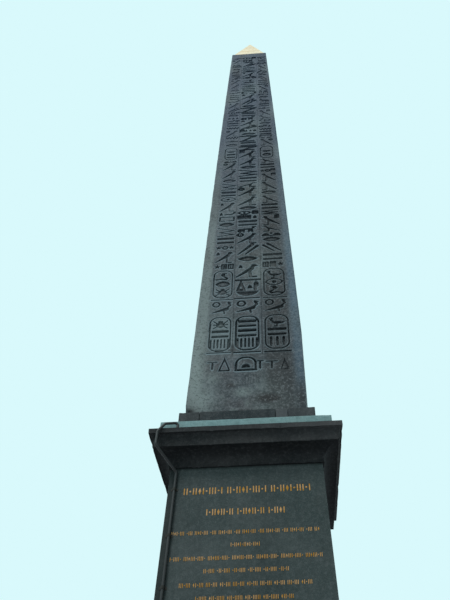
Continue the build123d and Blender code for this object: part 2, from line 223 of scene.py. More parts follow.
stonePlan = {
    "agedRoseGranite": {"tone": srgb(68, 83, 89), "contrast": 0.65, "streaks": 0.32, "patches": 0.4,
                        "patchTone": srgb(82, 94, 96), "gloss": 0.2, "carved": True, "seed": 2},
    "polishedDieGranite": {"tone": srgb(46, 61, 60), "contrast": 0.2, "streaks": 0.2, "patches": 0.25,
                           "roughness": 0.5, "polish": 0.6, "gloss": 0.16, "seed": 5},
    "corniceGranite": {"tone": srgb(29, 35, 36), "contrast": 0.13, "streaks": 0.4, "patches": 0.2,
                       "gloss": 0.08, "seed": 9},
    "paleLedgeGranite": {"tone": srgb(112, 154, 154), "contrast": 0.35, "streaks": 0.18, "patches": 0.3,
                         "patchTone": srgb(122, 146, 140), "roughness": 0.6, "seed": 12},
    "collarGranite": {"tone": srgb(40, 52, 55), "contrast": 0.22, "streaks": 0.3, "patches": 0.35,
                      "gloss": 0.1, "seed": 15},
    "pedestalGranite": {"tone": srgb(64, 74, 74), "contrast": 0.5, "streaks": 0.25, "patches": 0.3,
                        "roughness": 0.5, "polish": 0.4, "seed": 19},
    "stepGranite": {"tone": srgb(112, 114, 110), "contrast": 0.5, "streaks": 0.1, "patches": 0.4,
                    "roughness": 0.75, "seed": 23},
}
# marks of the carved faces: share, colour
carvedTones = {"cool": (0.75, srgb(50, 68, 92)), "sheen": (0.7, srgb(82, 112, 129)),
               "pale": (0.95, srgb(135, 152, 148)), "stain": (0.9, srgb(38, 38, 37))}
underShadeTone = (0.006, 0.007, 0.008, 1)  # painted shade under overhangs


def graniteFinish(name, tone, contrast, streaks, patches, seed, patchTone=None, roughness=0.7, polish=0.0,
                  gloss=0.3, carved=False):
    # crystals of four minerals, soft patches, rain streaks down the face and painted shade under overhangs
    f = Finish(name)
    dark = darker(tone, 0.55 * contrast)
    rosy = blended(tone, (0.30, 0.16, 0.13, 1), 0.25 * contrast)
    pale = blended(tone, (0.55, 0.56, 0.56, 1), 0.28 * contrast)
    mineral = f.crystals(150.0)[0]
    f.colour = f.ramp(mineral, (0.0, dark), (0.22, blended(dark, tone, 0.6)), (0.45, tone), (0.7, rosy),
                      (0.9, pale))
    cloud = f.level(f.noise(0.9, 5, 0.6, shift=(seed, 0, 0)), 0.42, 0.68)
    f.lay(cloud, patches, patchTone or blended(tone, (0.5, 0.5, 0.48, 1), 0.22))
    blotch = f.level(f.noise(6.5, 4, 0.6, shift=(0, seed, 3)), 0.5, 0.66)
    f.lay(blotch, 0.75 * contrast, darker(tone, 0.5))
    runs = f.level(f.noise(1.0, 5, 0.62, stretch=(5.5, 5.5, 0.28), shift=(0, 0, seed)), 0.47, 0.66)
    upright = f.maths("SUBTRACT", 1.0, f.maths("ABSOLUTE", f.facing()))
    f.lay(f.times(runs, upright), streaks, darker(tone, 0.7))
    # painted shade: darker where the true surface faces down
    f.lay(f.level(f.times(f.facing(), -1.0), 0.15, 0.75), 0.78, underShadeTone)
    speck = f.noise(18.0, 5, 0.8, shift=(seed, seed, 0))
    if carved:
        # broad colours of the carved faces first, then the mottling over them
        f.lay(f.level(f.noise(1.6, 4, 0.6, shift=(seed, 7, 0)), 0.48, 0.66), 0.25, srgb(92, 84, 84))
        for key, (share, mark) in carvedTones.items():
            f.lay(f.times(f.attribute(key), share), f.level(speck, 0.10, 0.50), mark)
    f.lay(f.level(speck, 0.49, 0.62), contrast, darker(tone, 0.6))
    f.lay(f.level(speck, 0.49, 0.35), 0.8 * contrast, blended(tone, (0.5, 0.54, 0.54, 1), 0.32))
    if carved:
        # painted highlight on the lower lips round the signs
        f.lay(f.attribute("paintedLipHighlight"), 0.7, srgb(120, 142, 148))
        # painted shade in the cuts of the signs, darkest under their upper edges
        f.lay(f.attribute("cut"), 0.6, darker(tone, 0.9))
    else:
        # the tone attribute: stone tones at random, and painted shade, shadow and reflection where the die
        # and cornice set them
        toneAndPaintedLight = f.attribute("tone")
        f.lay(f.level(toneAndPaintedLight, 0.0, 1.0), 0.5, blended(tone, (0.5, 0.52, 0.52, 1), 0.3))
        f.lay(f.level(toneAndPaintedLight, 0.0, -1.0), 0.75, darker(tone, 0.9))
    normal = f.bump(f.noise(3.2, 4, 0.5), 0.006)
    normal = f.bump(f.noise(95.0, 3, 0.7), 0.0016 * (1 - polish), normal)
    normal = f.bump(mineral, 0.0007 * (1 - polish), normal)
    rough = f.maths("MULTIPLY_ADD", f.noise(11.0, 3, 0.6), 0.22, roughness - 0.11)
    return f.finish(rough, normal, Specular_IOR_Level=gloss)


shaftStone, dieStone, coronaStone, ledgeStone, collarStone, pedestalStone, stepStone = [
    graniteFinish(name, **plan) for name, plan in stonePlan.items()]


# Metal

def goldLeafFinish(name, tone, wearTone, metal=0.85, gloss=0.24):
    # leaves about 80 mm across laid edge to edge, each a little different, over hammered sheet
    f = Finish(name)
    leaves = f.level(f.crystals(12.0)[1], 0.1, 0.9)
    f.colour = f.mix(leaves, darker(tone, 0.12), blended(tone, (1, 1, 1, 1), 0.12))
    f.lay(f.level(f.noise(2.2, 6, 0.65), 0.6, 0.78), 0.5, wearTone)
    rough = f.maths("MULTIPLY_ADD", f.noise(9.0, 3, 0.6), 0.2, gloss)
    return f.finish(rough, f.bump(f.noise(7.0, 2, 0.4), 0.004), Metallic=metal)


def dustyFinish(name, tone, dust, share, patch, rough, grain, **fixed):
    # a plain tone under patches of dust or green: patch is (scale, roughness, low, high), rough is (reach,
    # least) and grain is (scale, detail, depth)
    f = Finish(name, tone)
    scale, fineness, low, high = patch
    mask = f.level(f.noise(scale, 4, fineness), low, high)
    height = f.bump(f.noise(*grain[:2]), grain[2])
    f.lay(mask, share, dust)
    return f.finish(f.maths("MULTIPLY_ADD", mask, *rough), height, **fixed)


gilding = goldLeafFinish("goldLeaf", srgb(240, 205, 158), srgb(160, 122, 70))
inlayGold = goldLeafFinish("gildedOrnament", srgb(186, 132, 12), srgb(116, 84, 22), metal=0.15, gloss=0.6)
cableSheath = dustyFinish("cableSheath", srgb(15, 17, 18), srgb(34, 37, 36), 0.5, (14.0, 0.6, 0.45, 0.75),
                          (0.2, 0.5), (160.0, 2, 0.0006))
darkBronze = dustyFinish("darkBronze", srgb(38, 34, 30), srgb(48, 58, 52), 0.6, (60.0, 0.65, 0.5, 0.7),
                         (0.3, 0.4), (220.0, 3, 0.0005), Metallic=0.6)
print("finishes made")


# Carved signs. Each is a function of a place (x, y, w, h, t) that gives a signed distance in metres, negative
# inside the sunk shape: x runs across the sign from -w/2 to w/2, y up it from 0 to h, and t is half the width
# of a stroke. Places and an oval's radii are in hundredths of w across and of h up, other radii in shares of
# t, and a radius in brackets adds a share of t to hundredths of h and of w.

def sized(radius, place, unit, per=1):
    # a radius in metres: a plain one is counted in hundredths of a unit where per is 100
    *_, w, h, t = place
    if isinstance(radius, tuple):
        return sum(share / parts * length for share, parts, length in zip(radius, (1, 100, 100), (t, h, w)))
    return radius / per * unit


def bar(x0, y0, x1, y1, r0=1, r1=None):
    # distance to a segment, less a radius that goes evenly from r0 to r1 along it
    def shape(place):
        x, y, w, h, t = place
        ax, ay = x0 / 100 * w, y0 / 100 * h
        dx, dy = x1 / 100 * w - ax, y1 / 100 * h - ay
        along = np.clip(((x - ax) * dx + (y - ay) * dy) / (dx * dx + dy * dy + 1e-12), 0, 1)
        start = sized(r0, place, t)
        end = start if r1 is None else sized(r1, place, t)
        return np.hypot(x - ax - along * dx, y - ay - along * dy) - (start + (end - start) * along)
    return shape


def line(points, r=1):
    # strokes of one width through a list of points
    return either(*[bar(*start, *end, r) for start, end in zip(points, points[1:])])


def oval(cx, cy, rx, ry):
    # an ellipse, its distance taken as exact on the shorter axis
    def shape(place):
        x, y, w, h, _ = place
        a, b = sized(rx, place, w, 100), sized(ry, place, h, 100)
        return (np.hypot((x - cx / 100 * w) / a, (y - cy / 100 * h) / b) - 1) * min(a, b)
    return shape


def disc(cx, cy, r):
    # distance to a point, less a radius
    def shape(place):
        x, y, w, h, t = place
        return np.hypot(x - cx / 100 * w, y - cy / 100 * h) - sized(r, place, t)
    return shape


def slab(x0, x1, y0, y1, r=0, inset=0):
    # an upright rectangle with rounded corners, drawn in all round by a share of t
    def shape(place):
        x, y, w, h, t = place
        edge, corner = inset * t, sized(r, place, t)
        left, right = x0 / 100 * w + edge, x1 / 100 * w - edge
        low, high = y0 / 100 * h + edge, y1 / 100 * h - edge
        dx = np.abs(x - (left + right) / 2) - (right - left) / 2 + corner
        dy = np.abs(y - (low + high) / 2) - (high - low) / 2 + corner
        return np.hypot(np.maximum(dx, 0), np.maximum(dy, 0)) + np.minimum(np.maximum(dx, dy), 0) - corner
    return shape


def either(*shapes):
    # all of the shapes together: the smallest distance
    return lambda place: np.minimum.reduce([shape(place) for shape in shapes])


def both(*shapes):
    # what the shapes share: the largest distance
    return lambda place: np.maximum.reduce([shape(place) for shape in shapes])


def outline(shape, r=1):
    # a stroke along the edge of a shape
    return lambda place: np.abs(shape(place)) - r * place[4]


def above(level):
    # all that lies above a level
    return lambda place: level / 100 * place[3] - place[1]


def below(level):
    # all that lies below a level
    return lambda place: place[1] - level / 100 * place[3]


def lensSign(place):
    # two arcs that meet in points at the sides
    x, y, w, h, _ = place
    rise, half = 0.42 * h, 0.46 * w
    r = (half ** 2 + rise ** 2) / (2 * rise)
    return np.maximum(np.hypot(x, y - (h / 2 - rise + r)) - r, np.hypot(x, y - (h / 2 + rise - r)) - r)


def discSign(place):
    # a ring round a bead
    x, y, w, h, t = place
    r, fromMiddle = min(w, h) * 0.42, np.hypot(x, y - h / 2)
    return np.minimum(np.abs(fromMiddle - r) - t, fromMiddle - 0.24 * r)


def starSign(place):
    # five arms that taper outwards
    w, h = place[2:4]
    reach = 46 * min(w, h)
    turns = np.radians(range(90, 450, 72))
    tips = [(reach * math.cos(turn) / w, 50 + reach * math.sin(turn) / h) for turn in turns]
    return either(*[bar(0, 50, *tip, 1.6, 0.5) for tip in tips])(place)


def wedgeFlanks(place):
    # the sloping sides of a tall triangle
    x, y, w, h, _ = place
    return (np.abs(x) * h + (y - h) * 0.34 * w) / math.hypot(h, 0.34 * w)


wedgeSign = outline(both(wedgeFlanks, above(6)), 0.9)
ringSign = outline(slab(-47, 47, 0, 100, (0, 0, 34), inset=0.8), 0.8)
ruleSign = bar(-48, 50, 48, 50, 0.8)
waterSign = line([(11.5 * i - 46, 50 + 30 * (-1) ** i) for i in range(9)])
hawkSign = either(bar(-40, 16, 10, 60, 0.6, (0, 15)), bar(12, 62, 21, 80, (0, 11), (0, 8)),
                  oval(22, 83, (0.3, 11), 11), bar(26, 85, 38, 77, 0.8, 0.3), bar(-2, 42, 2, 0),
                  bar(10, 45, 13, 0), bar(-2, 2, 28, 2, 0.8))
gooseSign = either(oval(-6, 42, 30, 17), line([(16, 50), (27, 72), (22, 92)], 1.2),
                   bar(22, 92, 38, 86, 1.1, 0.5), bar(-30, 45, -47, 56, (0, 8), 0.5),
                   line([(-2, 30), (-2, 2), (12, 2)], 0.9))
reedSign = either(bar(0, 40, 6, 86, 1, (0, 0, 16)), bar(0, 2, 0, 45, 0.9))
eyeSign = either(outline(lensSign, 0.8), disc(0, 50, (0, 20)))
basketSign = either(both(oval(0, 78, 44, 70), below(78)), bar(-44, 80, 44, 80, 0.9))
viperSign = either(line([(-46, 30), (-25, 42), (-2, 30), (22, 42), (36, 66)], 1.25),
                   bar(36, 66, 46, 60, 1.6, 0.8), bar(36, 66, 33, 95, 0.7), bar(40, 66, 44, 95, 0.7))
cobraSign = either(line([(-42, 8), (-10, 16), (18, 6), (26, 25), (0, 52), (-2, 74)], 1.2),
                   oval(-3, 72, 15, 17), bar(-2, 90, 20, 93, 1.4, 0.8))
armSign = either(bar(-44, 34, 30, 34, 1.5, 1), bar(30, 34, 45, 62, 1, 0.8), bar(-44, 34, -44, 80, 1.4))
footSign = either(bar(-6, 100, -10, 12, 2.1, 1.5), bar(-10, 10, 34, 7, 1.5, 1))
loafSign = both(oval(0, 12, 36, 72), above(12))
matSign = either(outline(slab(-36, 36, 12, 88)), bar(0, 15, 0, 85, 0.8))
strokesSign = either(*[bar(c, 10, c, 90, 1.1, 1.4) for c in (-30, 0, 30)])
clothSign = line([(-14, 4), (-14, 84), (0, 96), (16, 84), (16, 50)], 1.15)
beetleSign = either(oval(0, 42, 24, 32), oval(0, 80, 15, 12),
                    *[line([(s * 18, b), (s * 38, c)], 0.8)
                      for s in (-1, 1) for b, c in ((60, 86), (42, 46), (26, 6))])
pillarSign = either(bar(0, 2, 0, 90, 1.7, 1.2), bar(-20, 2, 20, 2, 1.1),
                    *[bar(-30, c, 30, c, 0.9) for c in (62, 74, 86, 98)])
loopCrossSign = either(outline(oval(0, 76, 17, 17), 0.9), bar(0, 2, 0, 55, 1.3, 0.9), bar(-30, 52, 30, 52))
plumeSign = either(line([(-8, 0), (-10, 50), (0, 86)], 0.8), bar(-3, 36, 6, 82, 0.6, (0, 0, 15)),
                   bar(8, 84, 20, 68, 1.2, 0.8))
bullSign = either(bar(-28, 54, 14, 58, (0, 14), (0, 16)), bar(24, 72, 36, 60, (0, 10), (0, 6)),
                  line([(24, 80), (22, 96), (36, 94)], 0.8), line([(-38, 60), (-45, 40), (-43, 14)], 0.7),
                  *[bar(c, 45, c + d, 0, 1.4, 0.9) for c, d in ((-32, -4), (-22, 5), (8, -4), (17, 5))])
# a plain seated outline: knees, back and a round head with no features
kneelingSign = either(bar(-20, 12, 26, 12, (0, 11), (0, 9)), bar(-14, 20, -6, 62, (0, 0, 14), (0, 0, 11)),
                      bar(24, 14, 12, 42, (0, 0, 9)), oval(-3, 84, 12, 11), bar(-2, 58, 30, 64, 1.1, 0.8))
horizonSign = either(both(either(oval(-28, 6, 20, 62), oval(28, 6, 20, 62)), above(4)),
                     disc(0, 62, (0, 22)), bar(-46, 4, 46, 4, 0.9))
boltSign = either(bar(-46, 50, 46, 50, 1.1), slab(-10, -2, 20, 80), slab(4, 12, 20, 80))
bandsSign = either(slab(-46, 46, 58, 92, 1), slab(-46, 46, 8, 34, 1))
courtSign = line([(-14, 12), (-42, 12), (-42, 88), (42, 88), (42, 12), (12, 12)], 1.1)
archSign = either(both(outline(slab(-42, 42, -40, 92, (0, 0, 36))), above(6)),
                  both(oval(0, 20, 20, 30), above(20)), bar(-44, 6, 44, 6, 1.1))
sedgeSign = either(bar(0, 0, 0, 98, 1.1, 0.8),
                   *[line([(0, b), (s * 20, b + 20), (s * 32, b + 10)], 0.9)
                     for s, b in ((-1, 30), (1, 42), (-1, 60))])
sceptreSign = either(bar(-10, 0, 10, 86), line([(10, 86), (30, 92), (24, 76)]), bar(-20, 2, 0, 10, 0.8))
teeSign = either(bar(0, 4, 0, 66), bar(-40, 68, 40, 68, 0.9))
combSign = either(*[bar(c, 6, c, 94, 0.8) for c in (-45, -27, -9, 9, 27, 45)])
# a ring beside a bird whose straight back slants up to its head
wingedSign = either(outline(disc(-24, 72, (0, 0, 15))), bar(-42, 10, 22, 36, 0.5, (0, 13)),
                    line([(22, 40), (38, 62), (30, 84)], 1.2), bar(30, 86, 45, 80, 1.1, 0.5),
                    bar(10, 28, 14, 2, 0.9))
# a standing bird with a long straight tail that slants across the whole column
slantBirdSign = either(bar(-46, 4, 16, 60, 0.7, (0, 13)), oval(27, 84, (0.4, 10), 11),
                       bar(16, 62, 26, 82, (0, 11), (0, 8)), bar(30, 84, 44, 78, 0.9, 0.4),
                       bar(10, 48, 12, 2, 1.1), bar(12, 2, 36, 2, 0.9))
# two strokes side by side that rise to the right, each thicker at its head
slantSign = either(bar(-42, 10, 20, 90, 0.8, 1.9), bar(-10, 8, 42, 76, 0.8, 1.7))
crossedBarsSign = either(bar(-44, 94, 44, 94, 1.3), bar(-44, 6, 30, 6, 1.1), bar(-34, 12, 36, 84, 1, 1.8))
zigzagSign = line([(-46, 4), (46, 20), (-40, 46), (46, 62), (-46, 96)], 0.8)
# four level lines with small blocks on top
linesSign = either(*[bar(-46, level, 46, level, 0.6) for level in (5, 25, 45, 65)],
                   *[slab(c - 10, c + 10, 80, 100) for c in (-34, 0, 34)])
# posts under a heavy beam, with a block between two of them
gateSign = either(*[bar(c, 3, c, 68, 0.75) for c in (-42, -15, 42)], bar(-45, 90, 45, 90, 1.3),
                  slab(2, 26, 30, 62), slab(2, 26, 0, 16))

# signs for low rooms, for taller ones, slim and small ones that stand together, and bold ones
flatSigns = [waterSign, viperSign, basketSign, armSign, courtSign, boltSign, eyeSign, horizonSign]
tallSigns = [hawkSign, bullSign, slantSign, crossedBarsSign, slantBirdSign, zigzagSign, linesSign, gateSign]
slimSigns = [reedSign, cobraSign, footSign, clothSign, wedgeSign, beetleSign, pillarSign, loopCrossSign,
             plumeSign, kneelingSign, sedgeSign, sceptreSign]
smallSigns = [discSign, loafSign, matSign, strokesSign, starSign]
boldSigns = [slantSign, zigzagSign, crossedBarsSign, slantBirdSign, bullSign]


# Shaft

shaftLow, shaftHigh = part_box("shaft")
# cells are counted across the three columns of signs and up the face; the worn flank is at the front right,
# the broken corner at the front left
shaftPlan = {
    "foot": shaftLow.z, "height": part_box("cap_skirt")[0].z - shaftLow.z, "footHalf": shaftHigh.x,
    "headHalf": 0.772, "swell": 0.027, "arris": 0.020, "arrisWear": 0.012, "chips": 34, "unevenness": 0.003,
    "frontCells": (44, 48, 48, 1170), "otherCells": (26, 28, 28, 500), "cornerCells": 5,
    "plainHeight": 0.62, "plainRows": 16, "frontSplit": 10.7, "blockMargin": 0.02, "bulge": 0.68,
    "rulePlaces": (-0.3225, 0.325), "ruleHalf": 0.012, "ruleDepth": 0.010, "ruleEnds": (1.56, 20.62),
    "fullness": 0.014, "fullHeight": 2.6, "flankHeight": 1.85, "flankDepth": 0.070, "flankLength": 0.9,
    "brokenHeight": 0.30, "brokenLength": 0.15,
}
# each column of signs: its edges as (place at the foot, drift for each metre up), the depth it is cut to,
# half the width of a stroke, which way its signs face, how much they fade and grow upwards, and how often one
# is bold
signColumns = [
    {"left": (-0.90, 0.0085), "right": (-0.345, 0.0), "depth": 0.040, "stroke": 0.0225, "facing": 1,
     "fade": 0.4, "growth": 0.2, "bold": 0.2},
    {"left": (-0.30, 0.0), "right": (0.29, 0.0), "depth": 0.062, "stroke": 0.0285, "facing": 1,
     "fade": 0.0, "growth": 0.5, "bold": 0.85},
    {"left": (0.36, 0.0), "right": (0.965, -0.0112), "depth": 0.044, "stroke": 0.0235, "facing": -1,
     "fade": 0.3, "growth": 0.3, "bold": 0.3},
]
signPlan = {
    "gap": 0.024, "margin": 0.05, "growFrom": 3.2, "growReach": 6.0, "fadeFrom": 7.0, "fadeReach": 8.0,
    "boldFrom": 5.0, "boldRoom": 0.24, "freeRoom": (4.59, 4.85), "fullness": (0.94, 1.0),
    # two layers of signs: the least room, how much likelier than a bold sign, where they part and how far
    "layerRoom": 0.36, "layerChance": 0.45, "layerParting": (0.36, 0.62), "layerGap": 0.028,
    # how often one sign or a pair fills a low room, and three slim ones or a slim one by two small ones fill
    # a tall room
    "lowRoom": 0.30, "lowOne": 0.45, "lowPair": 0.65, "tallThree": 0.35, "tallMixed": 0.60,
}
thinStroke, thickStroke = {"stroke": 0.019, "facing": 1}, {"stroke": 0.037}
# signs with a place of their own: column, sign, place across it, share of its width, level, height, and what
# differs from the column
setSigns = [
    (0, teeSign, -0.22, 0.44, 1.17, 0.31, thinStroke), (0, wedgeSign, 0.25, 0.62, 1.12, 0.34, thinStroke),
    (1, archSign, -0.04, 0.83, 1.10, 0.42, {"stroke": 0.025}),
    (1, teeSign, 0.47, 0.25, 1.14, 0.33, thinStroke), (2, teeSign, -0.24, 0.50, 1.14, 0.30, thinStroke),
    (2, wedgeSign, 0.21, 0.40, 1.10, 0.25, {**thinStroke, "depth": 0.020}),
    (1, combSign, 0.20, 0.50, 0.72, 0.28, {"depth": 0.007, "stroke": 0.009}),
    *[(i, ruleSign, 0, 1, level, 0.05, {}) for i, level in ((0, 1.635), (1, 1.62), (2, 1.61))],
    *[(i, wingedSign, 0, 1, 2.91, 0.47, {"facing": 1}) for i in (0, 1, 2)],
    *[(i, ruleSign, 0, 1, level, 0.05, {}) for i, level in ((0, 3.39), (1, 3.41), (2, 3.39))],
    (1, basketSign, 0, 0.96, 3.50, 0.22, {}), (1, wedgeSign, -0.27, 0.42, 3.74, 0.30, thickStroke),
    (1, loafSign, 0.10, 0.30, 3.76, 0.20, {}), (1, clothSign, 0.36, 0.26, 3.74, 0.30, thickStroke),
    (1, ruleSign, 0, 1, 4.10, 0.06, {"stroke": 0.05}), (1, slantBirdSign, 0, 1, 4.24, 0.56, thickStroke),
    (1, loafSign, -0.30, 0.26, 4.60, 0.18, thickStroke),
]
# rings: column, level, height and the signs inside from below
ringSigns = [
    (0, 1.70, 1.11, [combSign, bandsSign, beetleSign]), (1, 1.70, 1.11, [combSign, bandsSign, bandsSign]),
    (2, 1.70, 1.11, [strokesSign, bandsSign, gooseSign]), (0, 3.48, 1.07, [beetleSign, lensSign, cobraSign]),
    (2, 3.48, 1.07, [cobraSign, eyeSign, gooseSign]),
]
# the main signs, which the solid has too: their first level, the distance between rows, the ring that some
# columns have, and the kinds with their heights
mainSigns = {"first": 4.88, "pitch": 0.818, "rows": 19, "ringRow": 7, "ringDrop": 0.12, "ringColumns": (0, 2),
             "kinds": [(slantBirdSign, 0.50), (bandsSign, 0.34), (lensSign, 0.26)]}


def columnSpan(column, h):
    # centre and width of a column at a height
    (a, driftA), (b, driftB) = column["left"], column["right"]
    left, right = a + driftA * h, b + driftB * h
    return (left + right) / 2, right - left


def shaftHalf(h):
    # straight taper plus a swelling of 4s r (1 - r), greatest at mid height
    p = shaftPlan
    r = h / p["height"]
    return p["footHalf"] + (p["headHalf"] - p["footHalf"]) * r + p["swell"] * 4 * r * (1 - r)


def arrisRadius(h, corner):
    # a small rounding that wanders with height, and wider bites where the edge has been knocked
    p, rng = shaftPlan, np.random.default_rng(40 + corner)
    wander = np.maximum(0.5 + 0.5 * waves(h, 0 * h, 1.7, 60 + corner), 0)
    places = rng.uniform(0.1, p["height"] - 0.1, p["chips"])
    sizes = rng.uniform(0.006, 0.032, p["chips"])
    spans = rng.uniform(0.04, 0.16, p["chips"])
    bites = sizes * np.exp(-((h[:, None] - places) / spans) ** 2)
    return p["arris"] + p["arrisWear"] * wander + bites.max(axis=1)


def ringRound(column, z, h, inner):
    # an upright ring round a short stack of signs
    room = 0.84 * h / max(len(inner), 1)
    return [(ringSign, 0, 1, z, h, column),
            *[(sign, 0, 0.78, z + 0.08 * h + i * room, 0.95 * room, column) for i, sign in enumerate(inner)]]


def fillRoom(rng, column, low, high):
    # signs in the space between two levels: one across the column, several side by side, or two such layers
    pick = lambda signs: signs[rng.integers(len(signs))]
    p, room, kind = signPlan, high - low, rng.random()
    if room > p["boldRoom"] and low > p["boldFrom"] and kind < column["bold"]:
        return [(pick(boldSigns), 0, 1, low, room, column)]
    if room > p["layerRoom"] and kind < column["bold"] + p["layerChance"]:
        parting, half = low + room * rng.uniform(*p["layerParting"]), p["layerGap"] / 2
        return fillRoom(rng, column, low, parting - half) + fillRoom(rng, column, parting + half, high)
    h = room * rng.uniform(*p["fullness"])
    z = low + (room - h) * rng.random()
    kind = rng.random()
    if room < p["lowRoom"]:
        if kind < p["lowOne"]:
            return [(pick(flatSigns), 0, rng.uniform(*p["fullness"]), z, h, column)]
        if kind < p["lowPair"]:
            side = rng.choice([-1, 1])
            return [(pick(flatSigns), -side * 0.17, 0.64, z, h, column),
                    (pick(smallSigns), side * 0.35, 0.28, z, h, column)]
        count = rng.choice([3, 4])
        return [(pick(smallSigns), (i + 0.5) / count - 0.5, 0.92 / count, z, h, column) for i in range(count)]
    if kind < p["tallThree"]:
        return [(pick(slimSigns), side * 0.335, 0.31, z, h, column) for side in (-1, 0, 1)]
    if kind < p["tallMixed"]:
        side = rng.choice([-1, 1])
        small = [(pick(smallSigns), -side * 0.23, 0.50, z + share * h, 0.46 * h, column)
                 for share in (0, 0.54)]
        return [(pick(slimSigns), side * 0.27, 0.45, z, h, column), *small]
    return [(pick(tallSigns), 0, rng.uniform(*p["fullness"]), z, h, column)]


def mixedRows(rng, column, place, quarter):
    # a main sign in each row and others in what it leaves free; one row of some columns has a ring
    m, gap, placed = mainSigns, signPlan["gap"], []
    for row in range(m["rows"]):
        sign, h = m["kinds"][(row + 2 * place + quarter) % 3]
        z = m["first"] + row * m["pitch"]
        rowsToRing = m["ringRow"] - row if place in m["ringColumns"] else None
        if rowsToRing == 0:
            placed += [(sign, 0, 0.70, z, h, column), (basketSign, 0, 0.66, z + h + 0.04, 0.13, column),
                       *ringRound(column, z - m["ringDrop"], m["pitch"] + 0.05, [])]
            continue
        placed.append((sign, 0, 1, z, h, column))
        if sign is slantBirdSign:
            small = smallSigns[rng.integers(len(smallSigns))]
            placed.append((small, -0.34 * column["facing"], 0.28, z + 0.60 * h, 0.40 * h, column))
        top = z + m["pitch"] - gap - (m["ringDrop"] if rowsToRing == 1 else 0)
        placed += fillRoom(rng, column, z + h + gap, top)
    return placed


def faceSigns(quarter):
    # every sign of a face as (sign, place across, share of the width, level, height, column)
    rng = np.random.default_rng(700 + quarter)
    placed = [(*sign, {**signColumns[i], **changes}) for i, *sign, changes in setSigns]
    for i, z, h, inner in ringSigns:
        placed += ringRound(signColumns[i], z, h, inner)
    for place, column in enumerate(signColumns):
        placed += mixedRows(rng, column, place, quarter)
    for column in signColumns[::2]:
        placed += fillRoom(rng, column, *signPlan["freeRoom"])
    return placed


def carvedDistance(xs, hs, placed):
    # the smallest distance to a sign or a rule at each grid point, and the depth that one is cut to
    p, margin = signPlan, signPlan["margin"]
    dist, depth = np.full(xs.shape, 1.0), np.zeros(xs.shape)
    for sign, offset, share, z, h, column in placed:
        centre, width = columnSpan(column, z + h / 2)
        cx, w = centre + offset * width, share * width
        r0, r1 = np.searchsorted(hs, [z - margin, z + h + margin])
        c0, c1 = np.searchsorted(xs[(r0 + r1) // 2], [cx - w / 2 - margin, cx + w / 2 + margin])
        part = (slice(r0, r1), slice(max(c0 - 2, 0), c1 + 2))
        x = (xs[part] - cx) * column["facing"]
        y = np.broadcast_to((hs[r0:r1] - z)[:, None], x.shape)
        growth = column["growth"] * float(smooth01((z - p["growFrom"]) / p["growReach"]))
        d = sign((x, y, w, h, column["stroke"] * (1 + growth)))
        fade = 1 - column["fade"] * float(smooth01((z - p["fadeFrom"]) / p["fadeReach"]))
        depth[part] = np.where(d < dist[part], column["depth"] * fade, depth[part])
        dist[part] = np.minimum(dist[part], d)
    for place in shaftPlan["rulePlaces"]:
        low, high = shaftPlan["ruleEnds"]
        beyond = np.maximum(low - hs, hs - high)[:, None]
        between = np.maximum(np.abs(xs - place) - shaftPlan["ruleHalf"], beyond)
        depth = np.where(between < dist, shaftPlan["ruleDepth"], depth)
        dist = np.minimum(dist, between)
    return dist, depth


def slideToOutline(xs, zs, dist):
    # grid points within about half a cell of a sign's outline move onto it, down the slope of the distance
    stepZ, stepX = np.gradient(zs, axis=0), np.gradient(xs, axis=1)
    slopeZ, slopeX = np.gradient(dist, axis=0) / stepZ, np.gradient(dist, axis=1) / stepX
    steep = slopeX ** 2 + slopeZ ** 2 + 1e-9
    cell = (np.abs(slopeX) * stepX + np.abs(slopeZ) * stepZ) / np.sqrt(steep)
    near = (dist > -0.30 * cell) & (dist < 0.62 * cell) & (steep > 0.25) & (steep < 2.5)
    moveX, moveZ = [np.where(near, np.clip(-dist * slope / steep, -0.45 * step, 0.45 * step), 0)
                    for slope, step in ((slopeX, stepX), (slopeZ, stepZ))]
    return xs + moveX, zs + moveZ, near, slopeZ


def faceColumns(hs, half, leftRadius, rightRadius, across):
    # places across a face: corner to block of signs, between the rules, and on to the other corner
    p, room = shaftPlan, shaftPlan["blockMargin"]
    low, high = leftRadius - half, half - rightRadius
    (leftMiddle, leftWidth), (rightMiddle, rightWidth) = [columnSpan(signColumns[i], hs) for i in (0, -1)]
    blockLeft = np.maximum(leftMiddle - leftWidth / 2 - room, low + 0.6 * room)
    blockRight = np.minimum(rightMiddle + rightWidth / 2 + room, high - 0.6 * room)
    knots = [low, blockLeft, *[np.full_like(hs, place) for place in p["rulePlaces"]], blockRight, high]
    cells = [p["cornerCells"], *across, p["cornerCells"]]
    xs = [a[:, None] + (b - a)[:, None] * np.linspace(0, 1, count + 1)[None, 1:]
          for a, b, count in zip(knots, knots[1:], cells)]
    return np.concatenate([low[:, None], *xs], axis=1)


